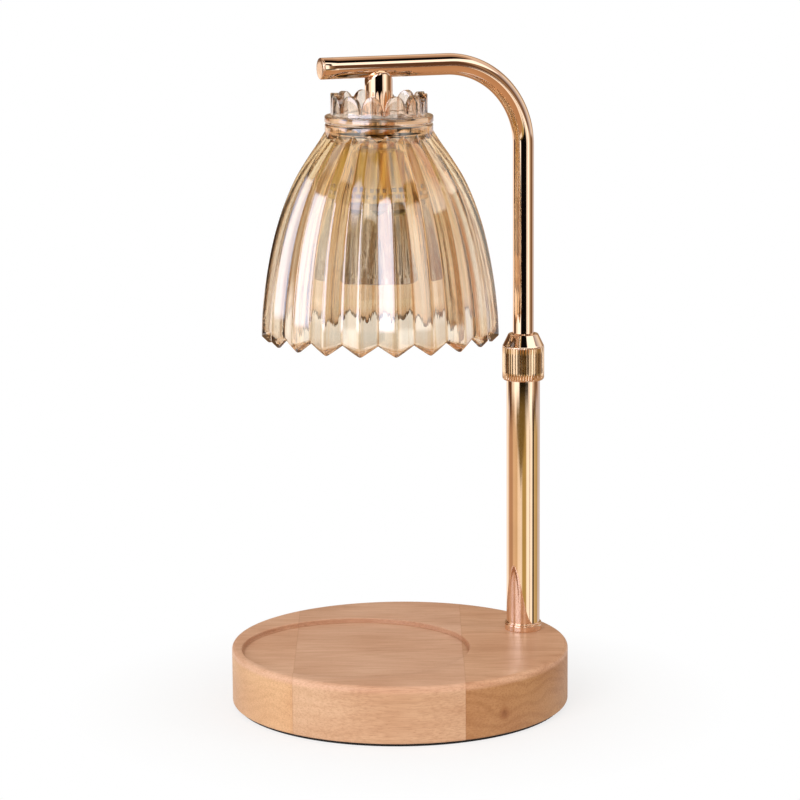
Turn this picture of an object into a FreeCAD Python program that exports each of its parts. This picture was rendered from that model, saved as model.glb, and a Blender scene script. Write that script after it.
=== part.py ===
import FreeCAD, Part
import math
import os

from FreeCAD import Vector

os.makedirs("parts", exist_ok=True)

# Candle warmer lamp: a turned wooden foot with a shallow dish, a telescopic pole that is clamped by a
# knurled nut, a bent arm, and a fluted pressed-glass shade with a halogen reflector lamp inside.
# Millimetres, +Z up. The origin is the centre of the foot's underside, and the pole stands on +X.

# Foot
BASE_RADIUS = 80.0
BASE_THICKNESS = 27.0
BASE_TOP_ROUND = 2.0
PAD_THICKNESS = 1.5
PAD_INSET = 2.0
DISH_RIM = 3.65
DISH_RADIUS = 53.85
DISH_DEPTH = 2.3
DISH_ROUND = 0.8

# Weight plate let into the underside
WEIGHT_EDGE = 16.0
WEIGHT_TERMINAL_GAP = 10.0
WEIGHT_THICKNESS = 5.0
WEIGHT_POCKET_DEPTH = 6.0
WEIGHT_SCREW_INSET = 12.0
WEIGHT_SCREW_COUNT = 3
WEIGHT_SCREW_LENGTH = 15.0
POCKET_PLAY = 0.3

# Fixing of the pole under the foot
POLE_INSET = 15.6
STUD_RADIUS = 5.0
STUD_BORE_RADIUS = 3.5
STUD_POCKET_RADIUS = 11.0
STUD_POCKET_DEPTH = 15.5
STUD_TAIL = 1.0
STUD_NUT_FLATS = 17.0
STUD_NUT_THICKNESS = 5.0
STUD_WASHER_RADIUS = 10.0
STUD_WASHER_THICKNESS = 1.5
THREAD_PLAY = 0.05
HOLE_PLAY = 0.3

# Terminal block and cord inlet
TERMINAL_SPACING = 18.4
TERMINAL_SIZE = (11.0, 18.0, 8.8)
TERMINAL_POCKET_DEPTH = 9.5
TERMINAL_WIRE_PITCH = 9.0
TERMINAL_SCREW_LENGTH = 18.0
INLET_Z = 9.0
INLET_BORE_RADIUS = 2.9
BUSH_BODY_RADIUS = 4.1
BUSH_FLANGE_RADIUS = 5.9
BUSH_FLANGE_THICKNESS = 1.4
BUSH_BODY_LENGTH = 3.0
BUSH_FACE_INSET = 0.4

# Screws
SCREW_RADIUS = 1.75
SMALL_SCREW_RADIUS = 1.25
SCREW_HEAD_RADIUS = 3.5
SCREW_HEAD_HEIGHT = 1.9
SCREW_PLAY = 0.05

# Pole
LOWER_TUBE_RADIUS = 8.0
LOWER_TUBE_WALL = 1.0
COLLAR_RADIUS = 8.9
COLLAR_NECK_RADIUS = 8.6
COLLAR_LIP_HEIGHT = 1.8
COLLAR_HEIGHT = 4.3
COLLAR_FLOOR = 1.2
TUBE_PLUG_LENGTH = 12.0
LOWER_TUBE_TOP = 156.0

# Clamp at the top of the lower tube
COLLET_SPIGOT = 14.0
COLLET_THREAD_RADIUS = 8.5
COLLET_THREAD_LENGTH = 10.0
COLLET_FINGER_LENGTH = 4.6
COLLET_FINGER_BASE_RADIUS = 7.4
COLLET_FINGER_TIP_RADIUS = 6.1
COLLET_SLOTS = 4
COLLET_SLOT_WIDTH = 1.0
NUT_OVERLAP = 4.7
NUT_RADIUS = 10.0
NUT_KNURL_DEPTH = 0.3
NUT_RIBS = 48
NUT_BAND = 1.0
NUT_BODY_HEIGHT = 16.5
NUT_CONE_HEIGHT = 5.5
NUT_CONE_TOP_RADIUS = 6.95
NUT_MOUTH_PLAY = 0.3

# Sliding upper tube and arm
UPPER_TUBE_RADIUS = 5.0
UPPER_TUBE_WALL = 1.0
UPPER_TUBE_ENGAGEMENT = 67.0
RUNNING_PLAY = 0.05
ARM_Z = 302.7
BEND_RADIUS = 39.2
ARM_OVERHANG = 28.8
END_CAP_THICKNESS = 1.0
END_CAP_PLUG = 4.5
SLEEVE_INSET = 3.0
SLEEVE_LENGTH = 8.0
CLIP_THICKNESS = 0.8
CLIP_RADIUS = 6.3
CLIP_PLAY = 0.2
CLIP_GROOVE = 0.4

# Internal lead
LEAD_RADIUS = 2.3
LEAD_BEND = 6.0
CORE_RADIUS = 0.9
CORE_PITCH = 3.6
LEAD_JOINT_Z = 20.0
LEAD_LOW_Z = 4.2
LEAD_FOOT_BEND = 5.0

# Neck between arm and shade
SHADE_REACH = 73.1
NECK_LENGTH = 24.2
NECK_RADIUS = 6.5
NECK_ARCH_DROP = 8.7
NIPPLE_RADIUS = 5.0
NIPPLE_BORE_RADIUS = 3.5
NIPPLE_ENGAGEMENT = 12.5
WIRE_HOLE_RADIUS = 3.3
GASKET_THICKNESS = 1.0
UPPER_GASKET_RADIUS = 9.0
LOWER_GASKET_RADIUS = 13.0
CLAMP_WASHER_RADIUS = 12.0
CLAMP_WASHER_THICKNESS = 1.0
CLAMP_NUT_FLATS = 17.0
CLAMP_NUT_THICKNESS = 4.0

# Glass shade
PLATE_THICKNESS = 6.5
PLATE_HOLE_RADIUS = 5.6
FLUTES = 20
FLUTE_PHASE = 4.2
FLUTE_DEPTH = 2.6
SHADE_WALL = 2.4
FLANGE_RADIUS = 25.1
FLANGE_RISE = 2.0
FLANGE_HEIGHT = 13.0
FLANGE_GROOVE_DROP = 1.6
FLANGE_GROOVE = 0.5
# Bell outline of the flute ridges, as drop below the top plate's face and radius
RIDGE_OUTLINE = (
    (104.0, 56.2), (88.5, 55.5), (71.5, 53.3), (54.5, 49.8), (40.5, 45.4),
    (28.5, 40.2), (18.5, 34.1), (10.5, 28.6), (4.1, 24.6),
)
TIP_DROP = 103.2
NOTCH_DROP = 97.5
TIP_FLAT = 0.8
EDGE_BEVEL = 2.2

# Crown of petals on the shade
PETALS = 12
PETAL_PHASE = 0.0
PETAL_RADIUS = 22.7
PETAL_INNER_RADIUS = 18.8
PETAL_ROOT_RISE = 2.0
PETAL_HALF_WIDTH = 5.3
PETAL_HEIGHT = 8.0

# Lampholder cup
CUP_RADIUS = 18.5
CUP_TOP_ROUND = 2.5
CUP_WALL = 0.8
CUP_HEIGHT = 25.0
VENT_COUNT = 24
VENT_ROWS = 2
VENT_SIZE = 1.8
VENT_LOW = 2.0
VENT_ROW_PITCH = 3.0

# Lampholder and its bracket
BRACKET_THICKNESS = 1.0
BRACKET_WIDTH = 12.0
BRACKET_LEG = 14.0
BRACKET_NUT_FLATS = 14.0
BRACKET_NUT_THICKNESS = 3.5
NIPPLE_TAIL = 1.0
HOLDER_RADIUS = 13.5
HOLDER_GAP = 0.5
HOLDER_HEIGHT = 12.2
HOLDER_FACE = 2.5
HOLDER_RACE_DEPTH = 5.0
HOLDER_RACE_INNER = 1.8
HOLDER_RACE_OUTER = 8.2
HOLDER_SCREW_DROP = 2.2

# Reflector lamp with a twist base
PIN_PITCH = 10.0
PIN_RADIUS = 1.5
PIN_NECK_LENGTH = 5.0
PIN_HEAD_RADIUS = 2.4
PIN_HEAD_LENGTH = 2.0
PIN_PLAY = 0.3
TWIST_ANGLE = 22.0
BULB_RADIUS = 24.8
BULB_DEPTH = 32.5
BULB_RIM_HEIGHT = 3.5
BULB_NECK_RADIUS = 12.3
BULB_WALL = 1.2
BULB_BASE_HEIGHT = 9.5
BULB_BASE_DROP = 32.0
BULB_BASE_TOP_RADIUS = 11.2
LENS_THICKNESS = 1.7
LENS_INSET = 0.4
CAPSULE_RADIUS = 4.5
CAPSULE_LENGTH = 15.0
CAPSULE_STEM_RADIUS = 2.6
CAPSULE_STEM_LENGTH = 7.0

# Places that follow from the sizes above
DISH_X = DISH_RIM + DISH_RADIUS - BASE_RADIUS
POLE_X = BASE_RADIUS - POLE_INSET
TERMINAL_X = POLE_X - TERMINAL_SPACING
WEIGHT_RADIUS = (BASE_RADIUS - WEIGHT_EDGE + TERMINAL_X - WEIGHT_TERMINAL_GAP) / 2.0
WEIGHT_X = WEIGHT_EDGE + WEIGHT_RADIUS - BASE_RADIUS
WEIGHT_SCREW_RING = WEIGHT_RADIUS - WEIGHT_SCREW_INSET
SHADE_X = POLE_X - SHADE_REACH
ARM_END_X = SHADE_X - ARM_OVERHANG
NUT_BOTTOM = LOWER_TUBE_TOP - NUT_OVERLAP
UPPER_TUBE_BOTTOM = LOWER_TUBE_TOP - UPPER_TUBE_ENGAGEMENT
SLEEVE_BOTTOM = UPPER_TUBE_BOTTOM + SLEEVE_INSET
PLATE_TOP = ARM_Z - NECK_LENGTH
FLANGE_TOP = PLATE_TOP + FLANGE_RISE
FLANGE_BOTTOM = FLANGE_TOP - FLANGE_HEIGHT
FLANGE_GROOVE_Z = PLATE_TOP - FLANGE_GROOVE_DROP
TIP_Z = PLATE_TOP - TIP_DROP
NOTCH_Z = PLATE_TOP - NOTCH_DROP
PETAL_ROOT_Z = FLANGE_TOP + PETAL_ROOT_RISE
BULB_BASE_TOP = PLATE_TOP - BULB_BASE_DROP
BULB_BACK_Z = BULB_BASE_TOP - BULB_BASE_HEIGHT
BULB_FRONT_Z = BULB_BACK_Z - BULB_DEPTH
BASE_BOTTOM = PAD_THICKNESS
BASE_TOP = BASE_BOTTOM + BASE_THICKNESS
STUD_SEAT = BASE_BOTTOM + STUD_POCKET_DEPTH
STUD_NUT_TOP = STUD_SEAT - STUD_WASHER_THICKNESS
STUD_NUT_BOTTOM = STUD_NUT_TOP - STUD_NUT_THICKNESS
STUD_BOTTOM = STUD_NUT_BOTTOM - STUD_TAIL
TUBE_SEAT = BASE_TOP + COLLAR_FLOOR
PLUG_TOP = TUBE_SEAT + TUBE_PLUG_LENGTH
LOWER_BORE_RADIUS = LOWER_TUBE_RADIUS - LOWER_TUBE_WALL
COLLET_THREAD_TOP = LOWER_TUBE_TOP + COLLET_THREAD_LENGTH
PLATE_BOTTOM = PLATE_TOP - PLATE_THICKNESS
NECK_BOTTOM = PLATE_TOP + GASKET_THICKNESS
NIPPLE_TOP = NECK_BOTTOM + NIPPLE_ENGAGEMENT
WASHER_TOP = PLATE_BOTTOM - GASKET_THICKNESS
CLAMP_NUT_TOP = WASHER_TOP - CLAMP_WASHER_THICKNESS
CUP_TOP = CLAMP_NUT_TOP - CLAMP_NUT_THICKNESS
BRACKET_TOP = CUP_TOP - CUP_WALL
BRACKET_NUT_TOP = BRACKET_TOP - BRACKET_THICKNESS
NIPPLE_BOTTOM = BRACKET_NUT_TOP - BRACKET_NUT_THICKNESS - NIPPLE_TAIL
HOLDER_BOTTOM = BULB_BASE_TOP + HOLDER_GAP
HOLDER_TOP = HOLDER_BOTTOM + HOLDER_HEIGHT
HOLDER_SCREW_Z = HOLDER_TOP - HOLDER_SCREW_DROP

UP = Vector(0, 0, 1)
ALONG_X = Vector(1, 0, 0)
ALONG_Y = Vector(0, 1, 0)


def rod(radius, z_low, z_high, x=0.0, y=0.0):
    return Part.makeCylinder(radius, z_high - z_low, Vector(x, y, z_low), UP)


def rod_along_x(radius, x_low, x_high, z, y=0.0):
    return Part.makeCylinder(radius, x_high - x_low, Vector(x_low, y, z), ALONG_X)


def ring(outer, inner, z_low, z_high, x=0.0):
    return rod(outer, z_low, z_high, x).cut(rod(inner, z_low - 1.0, z_high + 1.0, x))


def block(x_low, x_high, y_low, y_high, z_low, z_high):
    corner = Vector(x_low, y_low, z_low)
    return Part.makeBox(x_high - x_low, y_high - y_low, z_high - z_low, corner)


def polygon_prism(radii, phase, z_low, z_high, x=0.0):
    """Prism on a vertical axis whose corners take the given radii in turn, evenly spaced."""
    wire = corner_wire(radii, phase, z_low, x)
    return Part.Face(wire).extrude(Vector(0, 0, z_high - z_low))


def corner_wire(radii, phase, z, x=0.0):
    step = 2.0 * math.pi / len(radii)
    start = math.radians(phase)
    points = []
    for index, radius in enumerate(radii):
        angle = start + index * step
        points.append(Vector(x + radius * math.cos(angle), radius * math.sin(angle), z))
    points.append(points[0])
    return Part.makePolygon(points)


def hex_nut(across_flats, bore_radius, z_low, z_high, x):
    corner_radius = across_flats / 2.0 / math.cos(math.pi / 6.0)
    body = polygon_prism([corner_radius] * 6, 0.0, z_low, z_high, x)
    chamfer = (corner_radius - across_flats / 2.0) * 0.6
    outline = [
        (0.0, z_low), (corner_radius - chamfer, z_low), (corner_radius, z_low + chamfer),
        (corner_radius, z_high - chamfer), (corner_radius - chamfer, z_high), (0.0, z_high),
    ]
    body = body.common(turned(outline, x))
    return body.cut(rod(bore_radius, z_low - 1.0, z_high + 1.0, x))


def turned(outline, x=0.0):
    """Solid of revolution about the vertical axis at x, from radius and height pairs."""
    points = [Vector(x + radius, 0, z) for radius, z in outline]
    points.append(points[0])
    face = Part.Face(Part.makePolygon(points))
    return face.revolve(Vector(x, 0, 0), UP, 360)


def rounded_rim(shape, radius, z, size):
    """Rounds the circular edge of the given radius at height z."""
    chosen = []
    for edge in shape.Edges:
        curve = edge.Curve
        if isinstance(curve, Part.Circle) and abs(curve.Radius - radius) < 1e-6:
            if abs(curve.Center.z - z) < 1e-6:
                chosen.append(edge)
    return shape.makeFillet(size, chosen)


def quarter_bend(radius, bend_radius, centre, start, axis):
    """Round bar bent through a quarter turn, from a start point about an axis through the centre."""
    tangent = axis.cross(start - centre)
    circle = Part.makeCircle(radius, start, tangent)
    return Part.Face(Part.Wire(circle)).revolve(centre, axis, 90)


def arm_bar(radius, z_bottom, x_end):
    """Round bar that follows the centreline of the upper tube, its bend and the arm."""
    bend_z = ARM_Z - BEND_RADIUS
    bend_x = POLE_X - BEND_RADIUS
    upright = rod(radius, z_bottom, bend_z, POLE_X)
    bend = quarter_bend(radius, BEND_RADIUS, Vector(bend_x, 0, bend_z),
                        Vector(POLE_X, 0, bend_z), Vector(0, -1, 0))
    arm = rod_along_x(radius, x_end, bend_x, ARM_Z)
    return upright.fuse([bend, arm]).removeSplitter()


def turned_about_axis(shape, x, degrees):
    turned_shape = shape.copy()
    turned_shape.rotate(Vector(x, 0, 0), UP, degrees)
    return turned_shape


def flat_head_screw(radius, length, z_face, x, y):
    """Countersunk screw driven upward, with its head flush at z_face."""
    head = Part.makeCone(SCREW_HEAD_RADIUS, radius, SCREW_HEAD_HEIGHT, Vector(x, y, z_face), UP)
    shank = rod(radius, z_face + SCREW_HEAD_HEIGHT, z_face + length, x, y)
    return head.fuse(shank)


def flat_head_hole(radius, length, z_face, x, y):
    grown = SCREW_HEAD_RADIUS + SCREW_PLAY
    head = Part.makeCone(grown, radius + SCREW_PLAY, SCREW_HEAD_HEIGHT, Vector(x, y, z_face), UP)
    shank = rod(radius + SCREW_PLAY, z_face - 1.0, z_face + length + HOLE_PLAY, x, y)
    return head.fuse(shank)


def weight_screw_places():
    places = []
    for index in range(WEIGHT_SCREW_COUNT):
        angle = math.radians(90.0 + index * 360.0 / WEIGHT_SCREW_COUNT)
        x = WEIGHT_X + WEIGHT_SCREW_RING * math.cos(angle)
        places.append((x, WEIGHT_SCREW_RING * math.sin(angle)))
    return places


WEIGHT_SEAT = BASE_BOTTOM + WEIGHT_POCKET_DEPTH
WEIGHT_BOTTOM = WEIGHT_SEAT - WEIGHT_THICKNESS
TERMINAL_SEAT = BASE_BOTTOM + TERMINAL_POCKET_DEPTH
TERMINAL_BOTTOM = TERMINAL_SEAT - TERMINAL_SIZE[2]
BUSH_FACE_X = BASE_RADIUS - BUSH_FACE_INSET
BUSH_SHOULDER_X = BUSH_FACE_X - BUSH_FLANGE_THICKNESS


def wood_base():
    body = rod(BASE_RADIUS, BASE_BOTTOM, BASE_TOP)
    body = rounded_rim(body, BASE_RADIUS, BASE_TOP, BASE_TOP_ROUND)
    dish_floor = BASE_TOP - DISH_DEPTH
    dish = turned([
        (0.0, dish_floor), (DISH_RADIUS - DISH_ROUND, dish_floor),
        (DISH_RADIUS, dish_floor + DISH_ROUND), (DISH_RADIUS, BASE_TOP + 1.0), (0.0, BASE_TOP + 1.0),
    ], DISH_X)
    below = BASE_BOTTOM - 1.0
    half_x = TERMINAL_SIZE[0] / 2.0 + 2.0
    half_y = TERMINAL_SIZE[1] / 2.0 + 2.0
    cuts = [
        dish,
        rod(WEIGHT_RADIUS + POCKET_PLAY, below, WEIGHT_SEAT, WEIGHT_X),
        rod(STUD_POCKET_RADIUS, below, STUD_SEAT, POLE_X),
        rod(STUD_RADIUS + HOLE_PLAY, below, BASE_TOP + 1.0, POLE_X),
        block(TERMINAL_X - half_x, POLE_X - STUD_POCKET_RADIUS / 2.0, -half_y, half_y,
              below, TERMINAL_SEAT),
        rod_along_x(BUSH_BODY_RADIUS + THREAD_PLAY, POLE_X, BASE_RADIUS + 1.0, INLET_Z),
        rod_along_x(BUSH_FLANGE_RADIUS + HOLE_PLAY, BUSH_SHOULDER_X, BASE_RADIUS + 1.0, INLET_Z),
        rod(SMALL_SCREW_RADIUS + SCREW_PLAY, below,
            TERMINAL_BOTTOM + TERMINAL_SCREW_LENGTH + HOLE_PLAY, TERMINAL_X),
    ]
    for x, y in weight_screw_places():
        cuts.append(flat_head_hole(SCREW_RADIUS, WEIGHT_SCREW_LENGTH, WEIGHT_BOTTOM, x, y))
    return body.cut(cuts)


def foot_pad():
    pad = rod(BASE_RADIUS - PAD_INSET, 0.0, PAD_THICKNESS)
    return rounded_rim(pad, BASE_RADIUS - PAD_INSET, 0.0, PAD_THICKNESS / 3.0)


def weight_plate():
    plate = rod(WEIGHT_RADIUS, WEIGHT_BOTTOM, WEIGHT_SEAT, WEIGHT_X)
    holes = []
    for x, y in weight_screw_places():
        holes.append(flat_head_hole(SCREW_RADIUS, WEIGHT_SCREW_LENGTH, WEIGHT_BOTTOM, x, y))
    return plate.cut(holes)


def weight_screws():
    screws = []
    for x, y in weight_screw_places():
        screws.append(flat_head_screw(SCREW_RADIUS, WEIGHT_SCREW_LENGTH, WEIGHT_BOTTOM, x, y))
    return Part.makeCompound(screws)


def pole_stud():
    return ring(STUD_RADIUS, STUD_BORE_RADIUS, STUD_BOTTOM, PLUG_TOP, POLE_X)


def stud_nut():
    bore = STUD_RADIUS + THREAD_PLAY
    return hex_nut(STUD_NUT_FLATS, bore, STUD_NUT_BOTTOM, STUD_NUT_TOP, POLE_X)


def stud_washer():
    bore = STUD_RADIUS + HOLE_PLAY
    return ring(STUD_WASHER_RADIUS, bore, STUD_NUT_TOP, STUD_SEAT, POLE_X)


def foot_collar():
    top = BASE_TOP + COLLAR_HEIGHT
    lip = BASE_TOP + COLLAR_LIP_HEIGHT
    edge = LOWER_TUBE_RADIUS + 0.25
    step = COLLAR_RADIUS - COLLAR_NECK_RADIUS
    outline = [
        (0.0, BASE_TOP), (COLLAR_RADIUS, BASE_TOP), (COLLAR_RADIUS, lip - step),
        (COLLAR_NECK_RADIUS, lip), (COLLAR_NECK_RADIUS, top - step), (edge, top), (0.0, top),
    ]
    body = turned(outline, POLE_X)
    body = body.cut(rod(LOWER_TUBE_RADIUS + THREAD_PLAY, TUBE_SEAT, top + 1.0, POLE_X))
    return body.cut(rod(STUD_RADIUS + HOLE_PLAY, BASE_TOP - 1.0, TUBE_SEAT + 1.0, POLE_X))


def tube_plug():
    return ring(LOWER_BORE_RADIUS, STUD_RADIUS + THREAD_PLAY, TUBE_SEAT, PLUG_TOP, POLE_X)


def lower_tube():
    return ring(LOWER_TUBE_RADIUS, LOWER_BORE_RADIUS, TUBE_SEAT, LOWER_TUBE_TOP, POLE_X)


def collet():
    finger_top = COLLET_THREAD_TOP + COLLET_FINGER_LENGTH
    spigot_bottom = LOWER_TUBE_TOP - COLLET_SPIGOT
    outline = [
        (0.0, spigot_bottom), (LOWER_BORE_RADIUS, spigot_bottom),
        (LOWER_BORE_RADIUS, LOWER_TUBE_TOP), (COLLET_THREAD_RADIUS, LOWER_TUBE_TOP),
        (COLLET_THREAD_RADIUS, COLLET_THREAD_TOP), (COLLET_FINGER_BASE_RADIUS, COLLET_THREAD_TOP),
        (COLLET_FINGER_TIP_RADIUS, finger_top), (0.0, finger_top),
    ]
    body = turned(outline, POLE_X)
    body = body.cut(rod(UPPER_TUBE_RADIUS + RUNNING_PLAY, spigot_bottom - 1.0, finger_top + 1.0, POLE_X))
    half = COLLET_SLOT_WIDTH / 2.0
    slots = []
    for index in range(COLLET_SLOTS):
        slot = block(POLE_X, POLE_X + COLLET_THREAD_RADIUS, -half, half,
                     COLLET_THREAD_TOP, finger_top + 1.0)
        slots.append(turned_about_axis(slot, POLE_X, 45.0 + index * 360.0 / COLLET_SLOTS))
    return body.cut(slots)


def lock_nut():
    """Clamp nut with a ribbed grip between two plain bands, and a polished cone on top."""
    grip_top = NUT_BOTTOM + NUT_BODY_HEIGHT
    top = grip_top + NUT_CONE_HEIGHT
    band_radius = NUT_RADIUS - NUT_KNURL_DEPTH
    grip = polygon_prism([NUT_RADIUS, band_radius] * NUT_RIBS, 0.0,
                         NUT_BOTTOM + NUT_BAND, grip_top - NUT_BAND, POLE_X)
    edge = NUT_BAND / 2.0
    outline = [
        (0.0, NUT_BOTTOM), (band_radius - edge, NUT_BOTTOM), (band_radius, NUT_BOTTOM + edge),
        (band_radius, grip_top), (NUT_CONE_TOP_RADIUS, top), (0.0, top),
    ]
    body = turned(outline, POLE_X).fuse(grip)
    thread = COLLET_THREAD_RADIUS + THREAD_PLAY
    mouth = UPPER_TUBE_RADIUS + NUT_MOUTH_PLAY
    seat = COLLET_THREAD_TOP + NUT_MOUTH_PLAY
    finger = COLLET_FINGER_BASE_RADIUS + NUT_MOUTH_PLAY
    cone_top = COLLET_THREAD_TOP + COLLET_FINGER_LENGTH + NUT_MOUTH_PLAY
    cavity = [
        (0.0, NUT_BOTTOM - 1.0), (thread, NUT_BOTTOM - 1.0), (thread, seat), (finger, seat),
        (COLLET_FINGER_TIP_RADIUS + NUT_MOUTH_PLAY, cone_top), (mouth, cone_top),
        (mouth, top + 1.0), (0.0, top + 1.0),
    ]
    return body.cut(turned(cavity, POLE_X))


def cord_bush():
    body = rod_along_x(BUSH_BODY_RADIUS, BUSH_SHOULDER_X - BUSH_BODY_LENGTH, BUSH_SHOULDER_X, INLET_Z)
    flange = rod_along_x(BUSH_FLANGE_RADIUS, BUSH_SHOULDER_X, BUSH_FACE_X, INLET_Z)
    bore = rod_along_x(INLET_BORE_RADIUS, BUSH_SHOULDER_X - BUSH_BODY_LENGTH - 1.0,
                       BUSH_FACE_X + 1.0, INLET_Z)
    return body.fuse(flange).cut(bore)


def terminal_block():
    length, width, height = TERMINAL_SIZE
    low_x = TERMINAL_X - length / 2.0
    body = block(low_x, low_x + length, -width / 2.0, width / 2.0, TERMINAL_BOTTOM, TERMINAL_SEAT)
    cuts = [flat_head_hole(SMALL_SCREW_RADIUS, TERMINAL_SCREW_LENGTH, TERMINAL_BOTTOM, TERMINAL_X, 0.0)]
    for side in (-1, 1):
        y = side * TERMINAL_WIRE_PITCH / 2.0
        wire_z = TERMINAL_BOTTOM + height / 2.0
        cuts.append(rod_along_x(1.5, low_x - 1.0, low_x + length + 1.0, wire_z, y))
        cuts.append(rod(1.4, TERMINAL_BOTTOM - 1.0, wire_z, TERMINAL_X, y))
    return body.cut(cuts)


def terminal_screw():
    return flat_head_screw(SMALL_SCREW_RADIUS, TERMINAL_SCREW_LENGTH, TERMINAL_BOTTOM, TERMINAL_X, 0.0)


def base_lead():
    """Lead from the terminal block, round a bend and up into the hollow stud."""
    bend_x = POLE_X - LEAD_FOOT_BEND
    bend_z = LEAD_LOW_Z + LEAD_FOOT_BEND
    start_x = TERMINAL_X + TERMINAL_SIZE[0] / 2.0
    run = rod_along_x(LEAD_RADIUS, start_x, bend_x, LEAD_LOW_Z)
    bend = quarter_bend(LEAD_RADIUS, LEAD_FOOT_BEND, Vector(bend_x, 0, bend_z),
                        Vector(bend_x, 0, LEAD_LOW_Z), Vector(0, -1, 0))
    rise = rod(LEAD_RADIUS, bend_z, LEAD_JOINT_Z, POLE_X)
    return run.fuse([bend, rise]).removeSplitter()


def pole_lead():
    """Slack part of the lead, which shortens and lengthens as the arm is lowered and raised."""
    return rod(LEAD_RADIUS, LEAD_JOINT_Z, UPPER_TUBE_BOTTOM, POLE_X)


def upper_tube():
    tube_end_x = ARM_END_X + END_CAP_THICKNESS
    outer = arm_bar(UPPER_TUBE_RADIUS, UPPER_TUBE_BOTTOM, tube_end_x)
    inner = arm_bar(UPPER_TUBE_RADIUS - UPPER_TUBE_WALL, UPPER_TUBE_BOTTOM - 1.0, tube_end_x - 1.0)
    body = outer.cut(inner)
    cuts = [rod(WIRE_HOLE_RADIUS, ARM_Z - UPPER_TUBE_RADIUS - 1.0, ARM_Z, SHADE_X)]
    for clip_z in clip_heights():
        groove = ring(UPPER_TUBE_RADIUS + 1.0, UPPER_TUBE_RADIUS - CLIP_GROOVE,
                      clip_z, clip_z + CLIP_THICKNESS, POLE_X)
        cuts.append(groove)
    return body.cut(cuts)


def clip_heights():
    below = SLEEVE_BOTTOM - CLIP_PLAY - CLIP_THICKNESS
    above = SLEEVE_BOTTOM + SLEEVE_LENGTH + CLIP_PLAY
    return (below, above)


def guide_sleeve():
    """Sleeve at the foot of the upper tube that runs in the lower tube."""
    return ring(LOWER_BORE_RADIUS - RUNNING_PLAY, UPPER_TUBE_RADIUS + RUNNING_PLAY,
                SLEEVE_BOTTOM, SLEEVE_BOTTOM + SLEEVE_LENGTH, POLE_X)


def sleeve_clips():
    """Open spring rings that hold the sleeve on the tube."""
    clips = []
    for clip_z in clip_heights():
        clip = ring(CLIP_RADIUS, UPPER_TUBE_RADIUS - CLIP_GROOVE, clip_z, clip_z + CLIP_THICKNESS, POLE_X)
        mouth = block(POLE_X, POLE_X + CLIP_RADIUS + 1.0, -1.5, 1.5, clip_z - 1.0, clip_z + 2.0)
        clips.append(clip.cut(mouth))
    return Part.makeCompound(clips)


def arm_end_cap():
    tube_end_x = ARM_END_X + END_CAP_THICKNESS
    disc = rod_along_x(UPPER_TUBE_RADIUS, ARM_END_X, tube_end_x, ARM_Z)
    plug = rod_along_x(UPPER_TUBE_RADIUS - UPPER_TUBE_WALL, tube_end_x, tube_end_x + END_CAP_PLUG, ARM_Z)
    return disc.fuse(plug)


def neck_stub():
    """Short pipe under the arm, with an arched top that is cut to straddle it."""
    arch_z = ARM_Z - NECK_ARCH_DROP
    shank = rod(NECK_RADIUS, NECK_BOTTOM, arch_z, SHADE_X)
    head = rod(NECK_RADIUS, arch_z, ARM_Z, SHADE_X)
    arch = Part.makeCylinder(NECK_RADIUS, 4.0 * NECK_RADIUS,
                             Vector(SHADE_X, -2.0 * NECK_RADIUS, arch_z), ALONG_Y)
    body = shank.fuse(head.common(arch)).removeSplitter()
    cuts = [
        rod_along_x(UPPER_TUBE_RADIUS, SHADE_X - 2.0 * NECK_RADIUS, SHADE_X + 2.0 * NECK_RADIUS, ARM_Z),
        rod(NIPPLE_RADIUS + THREAD_PLAY, NECK_BOTTOM - 1.0, NIPPLE_TOP, SHADE_X),
        rod(WIRE_HOLE_RADIUS, NECK_BOTTOM, ARM_Z, SHADE_X),
    ]
    return body.cut(cuts)


def neck_nipple():
    return ring(NIPPLE_RADIUS, NIPPLE_BORE_RADIUS, NIPPLE_BOTTOM, NIPPLE_TOP, SHADE_X)


def upper_gasket():
    bore = NIPPLE_RADIUS + HOLE_PLAY
    return ring(UPPER_GASKET_RADIUS, bore, PLATE_TOP, NECK_BOTTOM, SHADE_X)


def lower_gasket():
    bore = NIPPLE_RADIUS + HOLE_PLAY
    return ring(LOWER_GASKET_RADIUS, bore, WASHER_TOP, PLATE_BOTTOM, SHADE_X)


def clamp_washer():
    bore = NIPPLE_RADIUS + HOLE_PLAY
    return ring(CLAMP_WASHER_RADIUS, bore, CLAMP_NUT_TOP, WASHER_TOP, SHADE_X)


def clamp_nut():
    return hex_nut(CLAMP_NUT_FLATS, NIPPLE_RADIUS + THREAD_PLAY, CUP_TOP, CLAMP_NUT_TOP, SHADE_X)


def flute_star():
    """Outer body of the skirt: a bell with sharp ridges and valleys, lofted through star outlines."""
    phase = FLUTE_PHASE
    wires = []
    for drop, radius in RIDGE_OUTLINE:
        z = PLATE_TOP - drop
        wires.append(corner_wire([radius, radius - FLUTE_DEPTH] * FLUTES, phase, z, SHADE_X))
    return Part.makeLoft(wires, True, False)


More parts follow.
